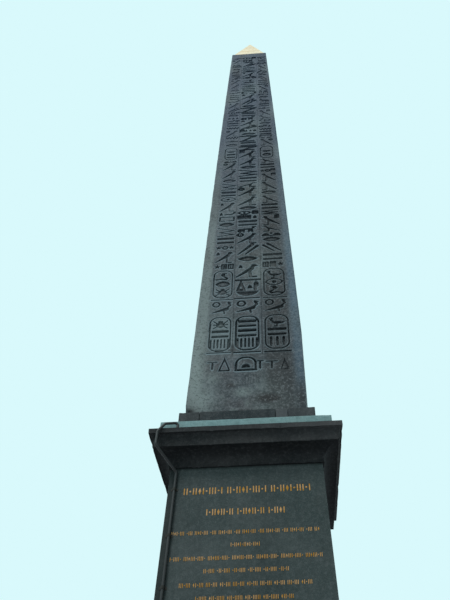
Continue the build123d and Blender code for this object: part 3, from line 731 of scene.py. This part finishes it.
def shaftFace(quarter):
    # across: a rounded corner, a margin, three columns of signs, a margin and a corner; up: even rows, taller
    # ones in the plain foot
    p = shaftPlan
    *across, up = p["frontCells"] if quarter == 0 else p["otherCells"]
    hs = np.concatenate([np.linspace(0, p["plainHeight"], p["plainRows"], endpoint=False),
                         np.linspace(p["plainHeight"], p["height"], up - p["plainRows"])])
    half, left, right = shaftHalf(hs), arrisRadius(hs, quarter), arrisRadius(hs, (quarter + 1) % 4)
    xs = faceColumns(hs, half, left, right, across)
    half = half[:, None]
    dist, depth = carvedDistance(xs, hs, faceSigns(quarter))
    xs, zs, onOutline, slopeZ = slideToOutline(xs, np.broadcast_to(hs[:, None], xs.shape), dist)
    inside = (dist < 0) & ~onOutline
    floor = depth * (1 - p["bulge"] * smooth01((-dist - 0.026) / 0.06))
    floor = floor * np.clip(0.95 + 0.25 * waves(xs, zs, 2.6, 90 + quarter), 0.55, 1.15)
    uneven = p["unevenness"] * np.maximum(0.5 + 0.5 * waves(xs, zs, 0.9, 80 + quarter), 0)
    ys = np.where(inside, floor, 0) - half + uneven * smooth01((half - np.abs(xs) - 0.03) / 0.1)
    # the corners: the arc of each rounding up to its middle
    angle = np.radians(np.linspace(45, 0, 5))[None, :-1]
    columns = [(xs, ys, zs)]
    for side, r in ((-1, left[:, None]), (1, right[:, None])):
        corner = [side * ((half - r) + r * np.sin(angle)), -((half - r) + r * np.cos(angle))]
        corner = [*[values[:, ::-side] for values in corner], np.broadcast_to(hs[:, None], corner[0].shape)]
        columns = [corner, *columns] if side < 0 else [*columns, corner]
    grid = np.stack([np.concatenate(part, axis=1) for part in zip(*columns)], axis=-1)
    grid[..., 2] += p["foot"]
    marks = {key: np.pad(values, ((0, 0), (angle.size, angle.size)))
             for key, values in carvedShadeAndHighlight(quarter, xs, zs, dist, depth, inside, slopeZ).items()}
    if quarter == 0:  # a painted shadow: a dark patch for the hollow under the broken corner
        fromEdge, fromFoot = grid[..., 0] + p["footHalf"] - 0.07, grid[..., 2] - p["foot"] - 0.06
        hollow = 2.4 * np.exp(-(fromEdge / 0.12) ** 2 - (fromFoot / 0.09) ** 2)
        marks["cut"] = np.maximum(marks["cut"], np.minimum(hollow, 1.6))
    return wornFoot(turned(grid, quarter)), {**marks, **faceTones(grid, quarter)}


def carvedShadeAndHighlight(quarter, xs, zs, dist, depth, inside, slopeZ):
    # painted shade on the floor of each sign, darkest under its upper edge, and a painted highlight on the
    # stone round it:
    # the highlights fade upwards, and on the dark right-hand side of the front
    upperEdgeShade = smooth01(1.4 * slopeZ + 0.1) * smooth01(1 + dist / 0.05)
    # painted highlight just below the lower edge of each deep sign
    lipHighlight = (0.40 + 0.60 * smooth01(-slopeZ * 1.6 - 0.2)) * (dist < 0.022)
    lipHighlight = lipHighlight * (1 - 0.3 * smooth01((zs - 4.0) / 8.0))
    if quarter == 0:
        lipHighlight = lipHighlight * (1 - 0.55 * smooth01((xs - 0.25) / 0.25))
    return {"cut": np.where(inside, np.clip(depth / 0.04, 0, 1) * (0.25 + 0.75 * upperEdgeShade), 0.0),
            "paintedLipHighlight": np.where(inside, 0.0, lipHighlight * smooth01((depth - 0.019) / 0.02))}


# centre across, height, reach across, reach up and strength of soft marks on the front face
faceMarks = {
    "pale": [(-0.06, 0.52, 0.20, 0.12, 0.8), (0.00, 0.24, 0.06, 0.12, 0.5), (0.55, 0.62, 0.18, 0.06, 0.7),
             (-1.08, 1.2, 0.24, 2.6, 1.0), (-0.98, 0.35, 0.35, 0.5, 0.9), (-0.74, 0.92, 0.18, 0.25, 0.6)],
    "stain": [(0.45, 0.34, 0.40, 0.19, 1.3), (-0.34, 0.72, 0.13, 0.08, 1.0), (0.66, 1.25, 0.42, 0.5, 0.5),
              (0.0, 0.04, 1.2, 0.05, 0.7), (0.70, 2.2, 0.30, 0.8, 0.45), (0.85, 0.35, 0.30, 0.35, 0.7),
              (-0.55, 0.20, 0.25, 0.10, 0.4), (0.60, 6.4, 0.30, 0.55, 1.2), (0.02, 8.4, 0.30, 0.5, 0.9),
              (0.12, 5.1, 0.38, 0.4, 0.9), (-0.42, 5.8, 0.25, 0.6, 0.4), (1.08, 0.3, 0.20, 0.5, 1.0),
              (-0.32, 1.75, 0.12, 0.2, 0.8), (0.10, 1.5, 0.22, 0.3, 0.7), (0.20, 0.95, 0.20, 0.18, 0.5),
              (0.25, 0.22, 0.30, 0.12, 0.5)],
}


def faceTones(grid, quarter):
    # pale and stained places as soft noise, each with gaussian marks of its own on the front face
    x, z = grid[..., 0], grid[..., 2] - shaftPlan["foot"]
    tones = {"cool": smooth01((z - 3.0) / 12.0) + 0 * x, "sheen": 0 * x}
    for seed, (key, marks) in enumerate(faceMarks.items()):
        field = 0.55 * smooth01(0.5 * waves(x, 0.45 * z, 1.1, 300 + 10 * quarter + seed) + 0.15)
        for cx, cz, rx, rz, strength in marks if quarter == 0 else []:
            field = np.maximum(field, strength * np.exp(-((x - cx) / rx) ** 2 - ((z - cz) / rz) ** 2))
        mottle = smooth01(0.9 * waves(x, 1.4 * z, 0.30, 311 + 6 * seed + quarter) - 0.15)
        tones[key] = np.maximum(field, 0.55 * smooth01(1.15 - z) * mottle)
    if quarter == 0:  # the right side is stained, with a sheen on its margin, and the left margin is pale
        edges = signColumns[0]["left"], signColumns[-1]["right"]
        edgeLeft, edgeRight = [place + drift * z for place, drift in edges]
        rightSide = smooth01((x - 0.25) / 0.25) * smooth01((edgeRight + 0.12 - x) / 0.22)
        rightSide = rightSide * (1 - 0.75 * smooth01((z - 8.0) / 6.0))
        cloudy = 0.7 + 0.3 * smooth01(0.5 + 0.5 * waves(x, z, 2.4, 371))
        tones["stain"] = np.maximum(tones["stain"], rightSide * cloudy)
        tones["sheen"] = smooth01((x - edgeRight + 0.06) / 0.20) * (1 - 0.7 * smooth01((z - 3.0) / 8.0))
        tones["sheen"] = tones["sheen"] * (0.45 + 0.55 * smooth01((z - 0.3) / 1.2))
        leftSide = 0.7 * smooth01((edgeLeft + 0.02 - x) / 0.10) * smooth01((13 - z) / 9)
        tones["pale"] = np.maximum(tones["pale"], leftSide)
    return tones


def wornFoot(points):
    # the right face stands out a little near its foot; then the worn flank and the broken corner, where what
    # lies beyond each plane is brought back onto it
    p = shaftPlan
    half, foot = p["footHalf"], p["foot"]
    rise = (points[..., 2] - foot - p["fullHeight"]) / p["fullHeight"]
    points[..., 0] += p["fullness"] * np.exp(-rise ** 2) * smooth01(points[..., 0] / half)
    upper = shaftHalf(p["flankHeight"])
    planes = [
        ((half - p["flankDepth"], -half, foot), (half, -half + p["flankLength"], foot),
         (upper, -upper, foot + p["flankHeight"])),
        ((-half + p["brokenLength"], -half, foot), (-half, -half + p["brokenLength"], foot),
         (-half, -half, foot + p["brokenHeight"])),
    ]
    for a, b, c in np.array(planes):
        normal = np.cross(b - a, c - a)
        normal *= np.sign(normal[:2] @ a[:2]) / np.linalg.norm(normal)
        points = points - np.maximum((points - a) @ normal, 0)[..., None] * normal
    return points


def buildShaft():
    # four faces, each closed to the axis by a row above and below, the front one in two pieces
    for quarter, side in enumerate(["Front", "Right", "Back", "Left"]):
        grid, fields = shaftFace(quarter)
        split = int(np.searchsorted(grid[:, 0, 2], shaftPlan["foot"] + shaftPlan["frontSplit"]))
        ends = [grid[:1] * (0, 0, 1), grid[-1:] * (0, 0, 1)]
        grid = np.concatenate([ends[0], grid, ends[1]])
        fields = {key: np.pad(values, ((1, 1), (0, 0)), mode="edge") for key, values in fields.items()}
        pieces = {"shaft" + side: slice(None)}
        if quarter == 0:
            pieces = {"shaftFrontLower": slice(0, split + 1), "shaftFrontUpper": slice(split, None)}
        for name, rows in pieces.items():
            piece = meshPiece(name, [grid[rows]], shaftStone, "shaft_granite",
                              {key: values[rows] for key, values in fields.items()}, closed=False)
            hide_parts("shaft")


buildShaft()
print("shaft carved")


# Courses of stone, each a closed surface round an upright axis

def roundedPlan(perSide):
    # once round a square from the front end of its right side: place on the inner square, outward direction
    arc = np.radians([30, 60])
    run = np.linspace(-1, 1, perSide + 1)
    columns = []
    for c, s in [(1, 0), (0, 1), (-1, 0), (0, -1)]:
        side = np.stack([c - s * run, s + c * run, c + 0 * run, s + 0 * run])
        corner = np.stack([c - s + 0 * arc, s + c + 0 * arc, c * np.cos(arc) - s * np.sin(arc),
                           s * np.cos(arc) + c * np.sin(arc)])
        columns += [side, corner]
    return np.concatenate(columns, axis=1)[:, None, :]


def knocks(around, seed, count, size):
    # bites along an edge, everywhere as deep as the deepest of so many bumps at random places
    rng = np.random.default_rng(seed)
    places, depths = rng.uniform(0, around.max(), count), size * rng.uniform(0.25, 1.0, count) ** 2
    spans = rng.uniform(0.02, 0.09, count)
    return (depths * np.exp(-((around[:, None] - places) / spans) ** 2)).max(axis=1)


def courseGrid(centre, rows, cornerRadius, perSide, wear, seed):
    # rows are (half x, half y, level, edge): the plan at each level, drawn in a little by unevenness and by
    # knocks where the row is an edge; edge is positive on upper edges, which sink too, negative on lower ones
    halfX, halfY, level, edge = (np.asarray(column, float)[:, None] for column in zip(*rows))
    px, py, nx, ny = roundedPlan(perSide)
    radius = np.minimum(cornerRadius, np.minimum(halfX, halfY))
    x = px * (halfX - radius) + nx * radius
    y = py * (halfY - radius) + ny * radius
    widest = int(np.argmax(halfX[:, 0]))
    around = np.concatenate([[0], np.cumsum(np.hypot(np.diff(x[widest]), np.diff(y[widest])))])
    onEdge = (np.abs(edge[:, 0]) >= 0.5).astype(int)
    group = np.cumsum(np.diff(onEdge, prepend=0) == 1)
    bite = np.abs(edge) * np.stack([knocks(around, seed + 31 * i, wear["knocks"], wear["size"])
                                    for i in range(group[-1] + 1)])[group]
    cx, cy = centre
    lean = 0.5 + 0.5 * waves(x + 1.3 * y + cx, level + 0.6 * y + cy, wear["wavelength"], seed + 7)
    upright = smooth01(np.minimum(halfX, halfY) / (0.2 * halfX.max()))
    inward = (wear["unevenness"] * np.maximum(lean, 0) + bite) * upright
    sunk = np.sign(edge) * bite * 0.8
    return np.stack([x - nx * inward + cx, y - ny * inward + cy, level - sunk], axis=-1)


def blockRows(halfX, halfY, low, high, radius, uprightRows):
    # up a squared block: from the middle of its bed, round the lower edge, up the face and over its top
    turn = np.radians([90, 60, 30, 0])
    inset, drop = radius * (1 - np.cos(turn)), radius * (1 - np.sin(turn))
    levels = np.linspace(low + radius, high - radius, uprightRows + 2)[1:-1]
    return [(0, 0, low, 0), (0.6 * halfX, 0.6 * halfY, low, 0),
            *[(halfX - i, halfY - i, low + d, -0.5) for i, d in zip(inset, drop)],
            *[(halfX, halfY, level, 0.12) for level in levels],
            *[(halfX - i, halfY - i, high - d, 1.0) for i, d in zip(inset[::-1], drop[::-1])],
            (0.6 * halfX, 0.6 * halfY, high, 0), (0, 0, high, 0)]


stepWear = {"knocks": 14, "size": 0.020, "unevenness": 0.005, "wavelength": 0.9}
stoneWear = {"knocks": 14, "size": 0.012, "unevenness": 0.003, "wavelength": 1.1}
trueWear = {"knocks": 14, "size": 0.005, "unevenness": 0.0015, "wavelength": 0.7}
stepPlan = {"edge": 0.014, "perSide": 14, "uprightRows": 3, "front": 4, "side": 3, "spread": 0.5,
            "stone": stepStone, "wear": stepWear, "slot": "step_granite"}
# front and side hold the number of stones or the places of their joints, spread how far their tones differ
coursePlan = {
    "lower_step": stepPlan,
    "upper_step": stepPlan,
    "collar": {"edge": 0.008, "perSide": 12, "uprightRows": 5, "front": (0.400, 1.864, 2.097),
               "side": (0.700, 1.310), "spread": 0.2, "paleStone": 2, "paleTone": 0.6,
               "stone": collarStone, "wear": trueWear, "slot": "pedestal_granite"},
    "socle": {"edge": 0.018, "perSide": 30, "uprightRows": 8, "spread": 0.25,
              "stone": pedestalStone, "wear": stoneWear, "slot": "pedestal_granite"},
    "plinth": {"edge": 0.018, "perSide": 48, "uprightRows": 8, "spread": 0,
               "stone": pedestalStone, "wear": stoneWear, "slot": "pedestal_granite"},
    "ledge_course": {"edge": 0.010, "perSide": 64, "uprightRows": 5, "spread": 0,
                     "stone": ledgeStone, "wear": trueWear, "slot": "pale_granite"},
}
jointWidth = 0.006


def stonesOf(node, low, high, plan):
    # the stones of one side of a course as (x ends, y ends); the back is the front turned round, and the left
    # side the right one
    if "front" not in plan:
        return [((low.x, high.x), (low.y, high.y))]
    alongX = high.x - low.x > high.y - low.y
    (first, last), across = [(low.x, high.x), (low.y, high.y)][::1 if alongX else -1]
    cuts = plan["front" if alongX else "side"]
    if isinstance(cuts, int):
        cuts = [(last - first) * i / cuts for i in range(1, cuts)]
    flipped = node.endswith(("back", "left"))
    places = sorted(last - cut if flipped else first + cut for cut in cuts)
    ends = list(zip([first, *[cut + jointWidth / 2 for cut in places]],
                    [*[cut - jointWidth / 2 for cut in places], last]))
    return [(row, across) if alongX else (across, row) for row in (ends[::-1] if flipped else ends)]


def buildCourses():
    # each node of a course as closed squared stones, each with a tone of its own within the course's spread
    rng = np.random.default_rng(51)
    for node in sorted(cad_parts):
        plan = next((plan for course, plan in coursePlan.items() if node.startswith(course)), None)
        if plan is None:
            continue
        low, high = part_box(node)
        grids, tones = [], []
        for i, (xEnds, yEnds) in enumerate(stonesOf(node, low, high, plan)):
            halfX, halfY = (xEnds[1] - xEnds[0]) / 2, (yEnds[1] - yEnds[0]) / 2
            rows = blockRows(halfX, halfY, low.z, high.z, plan["edge"], plan["uprightRows"])
            grids.append(courseGrid((sum(xEnds) / 2, sum(yEnds) / 2), rows, plan["edge"], plan["perSide"],
                                    plan["wear"], int(rng.integers(9999))))
            pale = plan.get("paleStone") == i and node.endswith("front")
            tone = plan["paleTone"] if pale else rng.uniform(-1, 1) * plan["spread"]
            tones.append(np.full(grids[-1].shape[0] * grids[-1].shape[1], tone))
        tones = {"tone": np.concatenate(tones)}
        piece = meshPiece(node + "Stones", grids, plan["stone"], plan["slot"], tones)
        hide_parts(node)


buildCourses()
print("courses laid")


# Mouldings: a profile of (half width, level) carried round the four sides

def arcPoints(centreHalf, centreLevel, radius, startTurn, endTurn, count):
    # points evenly along an arc, its turns in degrees with 0 outwards and 90 up
    turns = np.radians(np.linspace(startTurn, endTurn, count))
    return list(zip(centreHalf + radius * np.cos(turns), centreLevel + radius * np.sin(turns)))


def sweptArc(out, rise):
    # radius and turn of an arc that leaves upright and comes out this far over this rise
    radius = (out ** 2 + rise ** 2) / (2 * out)
    return radius, math.degrees(math.asin(rise / radius))


def easedProfile(points, radius):
    # the profile with its sharp corners cut back to small curves; a row's edge is 1 on an outward corner
    pts = np.array(points)
    rows = [(*pts[0], 0.0)]
    for before, here, after in zip(pts, pts[1:], pts[2:]):
        a, b = here - before, after - here
        la, lb = np.linalg.norm(a), np.linalg.norm(b)
        bend = (a[0] * b[1] - a[1] * b[0]) / (la * lb)
        if abs(bend) < 0.35:  # a turn of less than about 20 degrees
            rows.append((*here, 0.1))
            continue
        r = min(radius, 0.4 * la, 0.4 * lb)
        first, last = here - a / la * r, here + b / lb * r
        middle = 0.25 * first + 0.5 * here + 0.25 * last
        rows += [(*point, 1.0 if bend > 0 else 0.0) for point in (first, middle, last)]
    return [*rows, (*pts[-1], 0.0)]


dieFoot, dieHead = 1.403, 1.343  # half widths of the die
mouldingPlan = {
    "cornice": {"bedHeight": 0.045, "bedOut": 0.034, "hollow": 0.223, "drip": 0.309, "corona": 0.240,
                "flare": 0.041, "crownOut": 0.396, "crownHeight": 0.098, "crownTone": 0.12,
                "rightCrownReflection": 0.42, "rightCorona": 0.18},
    "base": {"torus": 0.060, "torusOut": 0.150, "filletHeight": 0.034, "filletOut": 0.062},
    "perSide": 110, "arris": 0.007, "cornerRadius": 0.008,
    "wear": {"knocks": 40, "size": 0.013, "unevenness": 0.003, "wavelength": 0.8},
}


def corniceProfile(low, high):
    # bed fillet, quarter hollow, soffit, flared corona and crown fillet, from the bed to the top
    p = mouldingPlan["cornice"]
    hollowLevel, crown = low + p["bedHeight"], dieHead + p["crownOut"]
    bed, drip, soffit = dieHead + p["bedOut"], dieHead + p["drip"], hollowLevel + p["hollow"]
    radius, sweep = sweptArc(p["flare"], p["corona"])
    return [(dieHead, low), (bed, low), *arcPoints(bed + p["hollow"], hollowLevel, p["hollow"], 180, 90, 9),
            *arcPoints(drip + radius, soffit, radius, 180, 180 - sweep, 8),
            (crown, soffit + p["corona"]), (crown, high)]


def baseProfile(low, high):
    # torus, fillet and the hollow that draws in to the die's foot
    p = mouldingPlan["base"]
    torusTop = low + 2 * p["torus"]
    radius, sweep = sweptArc(p["filletOut"], high - torusTop - p["filletHeight"])
    return [*arcPoints(dieFoot + p["torusOut"] - p["torus"], low + p["torus"], p["torus"], -90, 90, 13),
            (dieFoot + p["filletOut"], torusTop),
            *arcPoints(dieFoot + radius, high, radius, 180 + sweep, 180, 9)]


def buildMoulding(node, profile, stone, slotName, seed):
    # the eased profile carried round the square, and closed to the axis below and above
    p, (low, high) = mouldingPlan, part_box(node)
    eased = easedProfile(profile(low.z, high.z), p["arris"])
    rows = [(0, 0, low.z, 0), *[(half, half, level, edge) for half, level, edge in eased], (0, 0, high.z, 0)]
    grid = courseGrid((0, 0), rows, p["cornerRadius"], p["perSide"], p["wear"], seed)
    x, level = grid[..., 0], grid[..., 2]
    tone = 0 * level
    if node == "cornice":  # the upper bands pale towards the right, on the crown as a painted reflection of the sky
        c = p["cornice"]
        corona = low.z + c["bedHeight"] + c["hollow"] + p["arris"]
        tone = np.where(level > corona, c["rightCorona"] * smooth01(x - 0.5), 0.0)
        crownTone = c["crownTone"] + c["rightCrownReflection"] * smooth01((x + 0.2) / 1.9)
        tone = np.where(level > high.z - c["crownHeight"] - 0.002, crownTone, tone)
    piece = meshPiece(node + "Worn", [grid], stone, slotName, {"tone": tone})
    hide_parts(node)


buildMoulding("cornice", corniceProfile, coronaStone, "pedestal_granite", 81)
buildMoulding("base_moulding", baseProfile, pedestalStone, "pedestal_granite", 83)
print("mouldings run")


# The die, leaning in a little, with a band of painted shade under the cornice, a dark strip beside the cable
# and the cable's painted shadow

diePlan = {
    "arris": 0.008, "perSide": 60, "rows": 90, "cableFromEdge": 0.118,
    "shadeHeight": 0.045, "shadow": 0.020, "stripTone": -0.8, "drift": 0.16, "soften": 0.012,
    # across, level, reach and strength of dark spots on the front
    "spots": [(0.36, 6.18, 0.022, 0.9), (0.26, 5.915, 0.026, 0.9), (-0.92, 6.55, 0.03, 0.5),
              (1.20, 6.52, 0.02, 0.6)],
    "wear": {"knocks": 12, "size": 0.006, "unevenness": 0.0008, "wavelength": 1.6},
}


def buildDie():
    # half widths that shrink evenly from foot to head; the tone drifts softly, less the strip and the darkest
    # of the cable's painted shadow, the band of painted shade under the cornice and the spots
    p, (low, high) = diePlan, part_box("die")
    halves, levels = np.linspace(dieFoot, dieHead, p["rows"]), np.linspace(low.z, high.z, p["rows"])
    walls = [(half, half, level, 0.1) for half, level in zip(halves, levels)]
    rows = [(0, 0, low.z, 0), *walls, (0, 0, high.z, 0)]
    grid = courseGrid((0, 0), rows, p["arris"], p["perSide"], p["wear"], 87)
    x, y, z = grid[..., 0], grid[..., 1], grid[..., 2]
    face = dieHead + (dieFoot - dieHead) * (high.z - z) / (high.z - low.z)
    fromCable = x - (p["cableFromEdge"] - face)
    front = smooth01((-y - 0.97 * face) / (0.02 * face))
    strip = p["stripTone"] * smooth01(-fromCable / p["soften"]) * front
    # painted shadow of the cable beside it, and painted shade in a band under the cornice
    shadow = -np.exp(-((fromCable - p["soften"]) / p["shadow"]) ** 2) * front
    corniceShade = -smooth01((z - (high.z - p["shadeHeight"])) / p["soften"])
    spots = sum(-strength * np.exp(-((x - cx) ** 2 + (z - cz) ** 2) / reach ** 2) * front
                for cx, cz, reach, strength in p["spots"])
    tone = p["drift"] * waves(x + y, z, 1.8, 89) + strip + np.minimum.reduce([shadow, corniceShade, spots])
    piece = meshPiece("dieWorn", [grid], dieStone, "pedestal_granite", {"tone": tone})
    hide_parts("die")


buildDie()
print("die set")


# Gilded ornament in level rows on the front and back of the die: upright bars, lozenges and beads

ornamentPlan = {
    "lift": 0.006, "sunk": 0.0005, "batter": 0.012, "dieTop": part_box("die")[1].z,
    # level, left end, right end and height of each row, and the motifs repeated along it
    "rows": [
        (7.149, -1.07, 1.09, 0.126, "||o||<|o|||o| "), (6.750, -0.66, 0.64, 0.112, "|o||<||o|| "),
        (6.392, -1.21, 1.18, 0.068, "||<|o||| o||| "), (6.178, -0.24, 0.22, 0.068, "|o||<"),
        (5.969, -1.19, 1.19, 0.068, "|o||||o |||<||"), (5.768, -0.65, 0.66, 0.067, "||o|||| o"),
        (5.559, -1.01, 1.00, 0.067, "|||o||| <|o||| "), (5.357, -0.75, 0.71, 0.066, "|o||||| <|"),
        (5.155, -1.10, 1.10, 0.066, "||<||o| |||o|| "), (4.955, -0.52, 0.52, 0.066, "|||o|| "),
        (4.755, -0.98, 0.98, 0.066, "o||||| |o||<||"), (4.555, -0.36, 0.36, 0.066, "|o||<"),
    ],
    "widths": {"|": 0.17, "<": 0.38, "o": 0.28, " ": 0.42}, "space": 0.19,
}


def ornamentMotifs():
    # the foot and head outlines of each motif in a square of 1: a chamfered bar, a lozenge and a bead
    square = np.array([(-0.5, -0.5), (0.5, -0.5), (0.5, 0.5), (-0.5, 0.5)])
    lozenge = np.array([(0, -0.5), (0.5, 0), (0, 0.5), (-0.5, 0)])
    turns = np.radians(np.arange(0, 360, 45))
    bead = 0.5 * np.stack([np.cos(turns), np.sin(turns)], axis=-1)
    return {"|": np.stack([square, square * (0.55, 0.9)]), "<": np.stack([lozenge, lozenge * 0.45]),
            "o": np.stack([bead, bead * 0.6])}


def ornamentRow(level, left, right, height, pattern):
    # motifs are laid from the left until the row is full, then drawn out to its exact length
    x, placed, i = 0.0, [], 0
    while x < right - left - 0.4 * height:
        kind = pattern[i % len(pattern)]
        width = ornamentPlan["widths"][kind] * height
        if kind != " ":
            placed.append((kind, x + width / 2, width))
            x += ornamentPlan["space"] * height
        x += width
        i += 1
    fit = (right - left) / (placed[-1][1] + placed[-1][2] / 2)
    return [(kind, left + fit * middle, level, width, width if kind == "o" else height)
            for kind, middle, width in placed]


def buildOrnament(name, quarter):
    # each motif is a foot on the die and a smaller head that stands out, joined by walls
    p, points, faces, count = ornamentPlan, [], [], 0
    placed = [motif for row in p["rows"] for motif in ornamentRow(*row)]
    out = np.array([0.0, p["lift"]])[None, :, None] - p["sunk"]
    for kind, ring in ornamentMotifs().items():
        own = np.array([sizes for which, *sizes in placed if which == kind])
        x, level, width, height = own.T[:, :, None, None]
        x, z = x + ring[..., 0] * width, level + ring[..., 1] * height
        y = p["batter"] * (z - p["dieTop"]) - dieHead - out
        points.append(np.stack([x, y, z], axis=-1).reshape(-1, 3))
        sides = ring.shape[1]
        around = np.arange(sides)
        after = (around + 1) % sides
        walls = np.stack([around, after, sides + after, sides + around], axis=-1)
        caps = np.array([[i, i + 1, sides - 2 - i, sides - 1 - i] for i in range(sides // 2 - 1)])
        starts = count + 2 * sides * np.arange(len(x))
        shape = np.concatenate([walls, caps + sides, caps[:, ::-1]])
        faces.append((shape[None] + starts[:, None, None]).reshape(-1, 4))
        count += len(points[-1])
    points = turned(np.concatenate(points), quarter)
    meshFromArrays(name, points, np.concatenate(faces), inlayGold, "gilding", {})


buildOrnament("ornamentFront", 0)
buildOrnament("ornamentBack", 2)
print("ornament laid")


# Stones and fittings kept from the frame

nodeFinish = {
    "bearing_block": collarStone, "foundation_core": stepStone, "conductor_cable": cableSheath,
    "conductor_gland": darkBronze, "conductor_saddles": darkBronze, "cap": gilding,
}
for name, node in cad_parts.items():
    finish = next((finish for start, finish in nodeFinish.items() if name.startswith(start)), None)
    if finish is not None:
        node.data.materials.clear()
        node.data.materials.append(finish)
print("frame pieces finished")


# Camera, floor and light

cameraPlan = {
    "place": (0.682, -10.233, 1.903), "tilt": 46.590, "turn": -3.219, "roll": -0.593,
    "focalPixels": 583.2, "longSidePixels": 600.0, "sensor": 36.0, "shift": (-0.0501, 0.0350), "farEnd": 400,
}


def linked(name, data):
    # a new object in the scene
    thing = bpy.data.objects.new(name, data)
    bpy.context.scene.collection.objects.link(thing)
    return thing


def addCamera():
    # forward from tilt and turn, then the roll about it; the columns are right, up and back
    p = cameraPlan
    tilt, turn, roll = (math.radians(p[key]) for key in ("tilt", "turn", "roll"))
    forward = np.array([math.sin(turn) * math.cos(tilt), math.cos(turn) * math.cos(tilt), math.sin(tilt)])
    right = np.array([math.cos(turn), -math.sin(turn), 0.0])
    up = np.cross(right, forward)
    rolledRight = math.cos(roll) * right + math.sin(roll) * up
    rolledUp = math.cos(roll) * up - math.sin(roll) * right
    lens = bpy.data.cameras.new("viewCamera")
    lens.sensor_width, lens.clip_end = p["sensor"], p["farEnd"]
    lens.lens = p["focalPixels"] / p["longSidePixels"] * p["sensor"]
    lens.shift_x, lens.shift_y = p["shift"]
    matrix = np.eye(4)
    matrix[:3] = np.stack([rolledRight, rolledUp, -forward, p["place"]], axis=1)
    camera = linked("viewCamera", lens)
    camera.matrix_world = Matrix(matrix.tolist())
    bpy.context.scene.camera = camera


floorPlan = {"colour": srgb(214, 218, 220), "rough": 0.9, "reach": 300.0}


def addFloor():
    # one square at ground level
    r = floorPlan["reach"]
    mesh = bpy.data.meshes.new("floor")
    mesh.from_pydata([(-r, -r, 0), (r, -r, 0), (r, r, 0), (-r, r, 0)], [], [(0, 1, 2, 3)])
    mesh.materials.append(Finish("paleFloor", floorPlan["colour"]).finish(floorPlan["rough"]))
    floor = linked("floor", mesh)


lightPlan = {"sky": srgb(226, 238, 246), "skyStrength": 0.50, "backdrop": srgb(217, 249, 252),
             "sunStrength": 1.7, "sunAngle": 18.0, "sunTilt": 34.0, "sunTurn": -36.0}


def addLight():
    # an even sky that lights the stone, a pale backdrop that the camera and gloss see, and a broad soft lamp
    world = bpy.data.worlds.new("studio")
    bpy.context.scene.world = world
    nodes = Nodes(world)
    lit = nodes.tree.nodes["Background"]
    nodes.fill(lit, {"Color": lightPlan["sky"], "Strength": lightPlan["skyStrength"]})
    seen = nodes.add("Background", {"Color": lightPlan["backdrop"]})
    rays = nodes.add("LightPath").outputs
    shown = rays["Is Camera Ray"]
    for ray in ("Is Glossy Ray", "Is Transmission Ray"):
        shown = nodes.maths("MAXIMUM", shown, rays[ray])
    mixed = nodes.add("MixShader", {0: shown, 1: lit.outputs[0], 2: seen.outputs[0]})
    nodes.fill(nodes.tree.nodes["World Output"], {"Surface": mixed.outputs[0]})
    lamp = bpy.data.lights.new("softSun", "SUN")
    lamp.energy, lamp.angle = lightPlan["sunStrength"], math.radians(lightPlan["sunAngle"])
    sun = linked("softSun", lamp)
    sun.rotation_euler = (math.radians(lightPlan["sunTilt"]), 0, math.radians(lightPlan["sunTurn"]))


addCamera()
addFloor()
addLight()
bpy.context.scene.view_settings.view_transform = "Standard"
print("camera and light set")
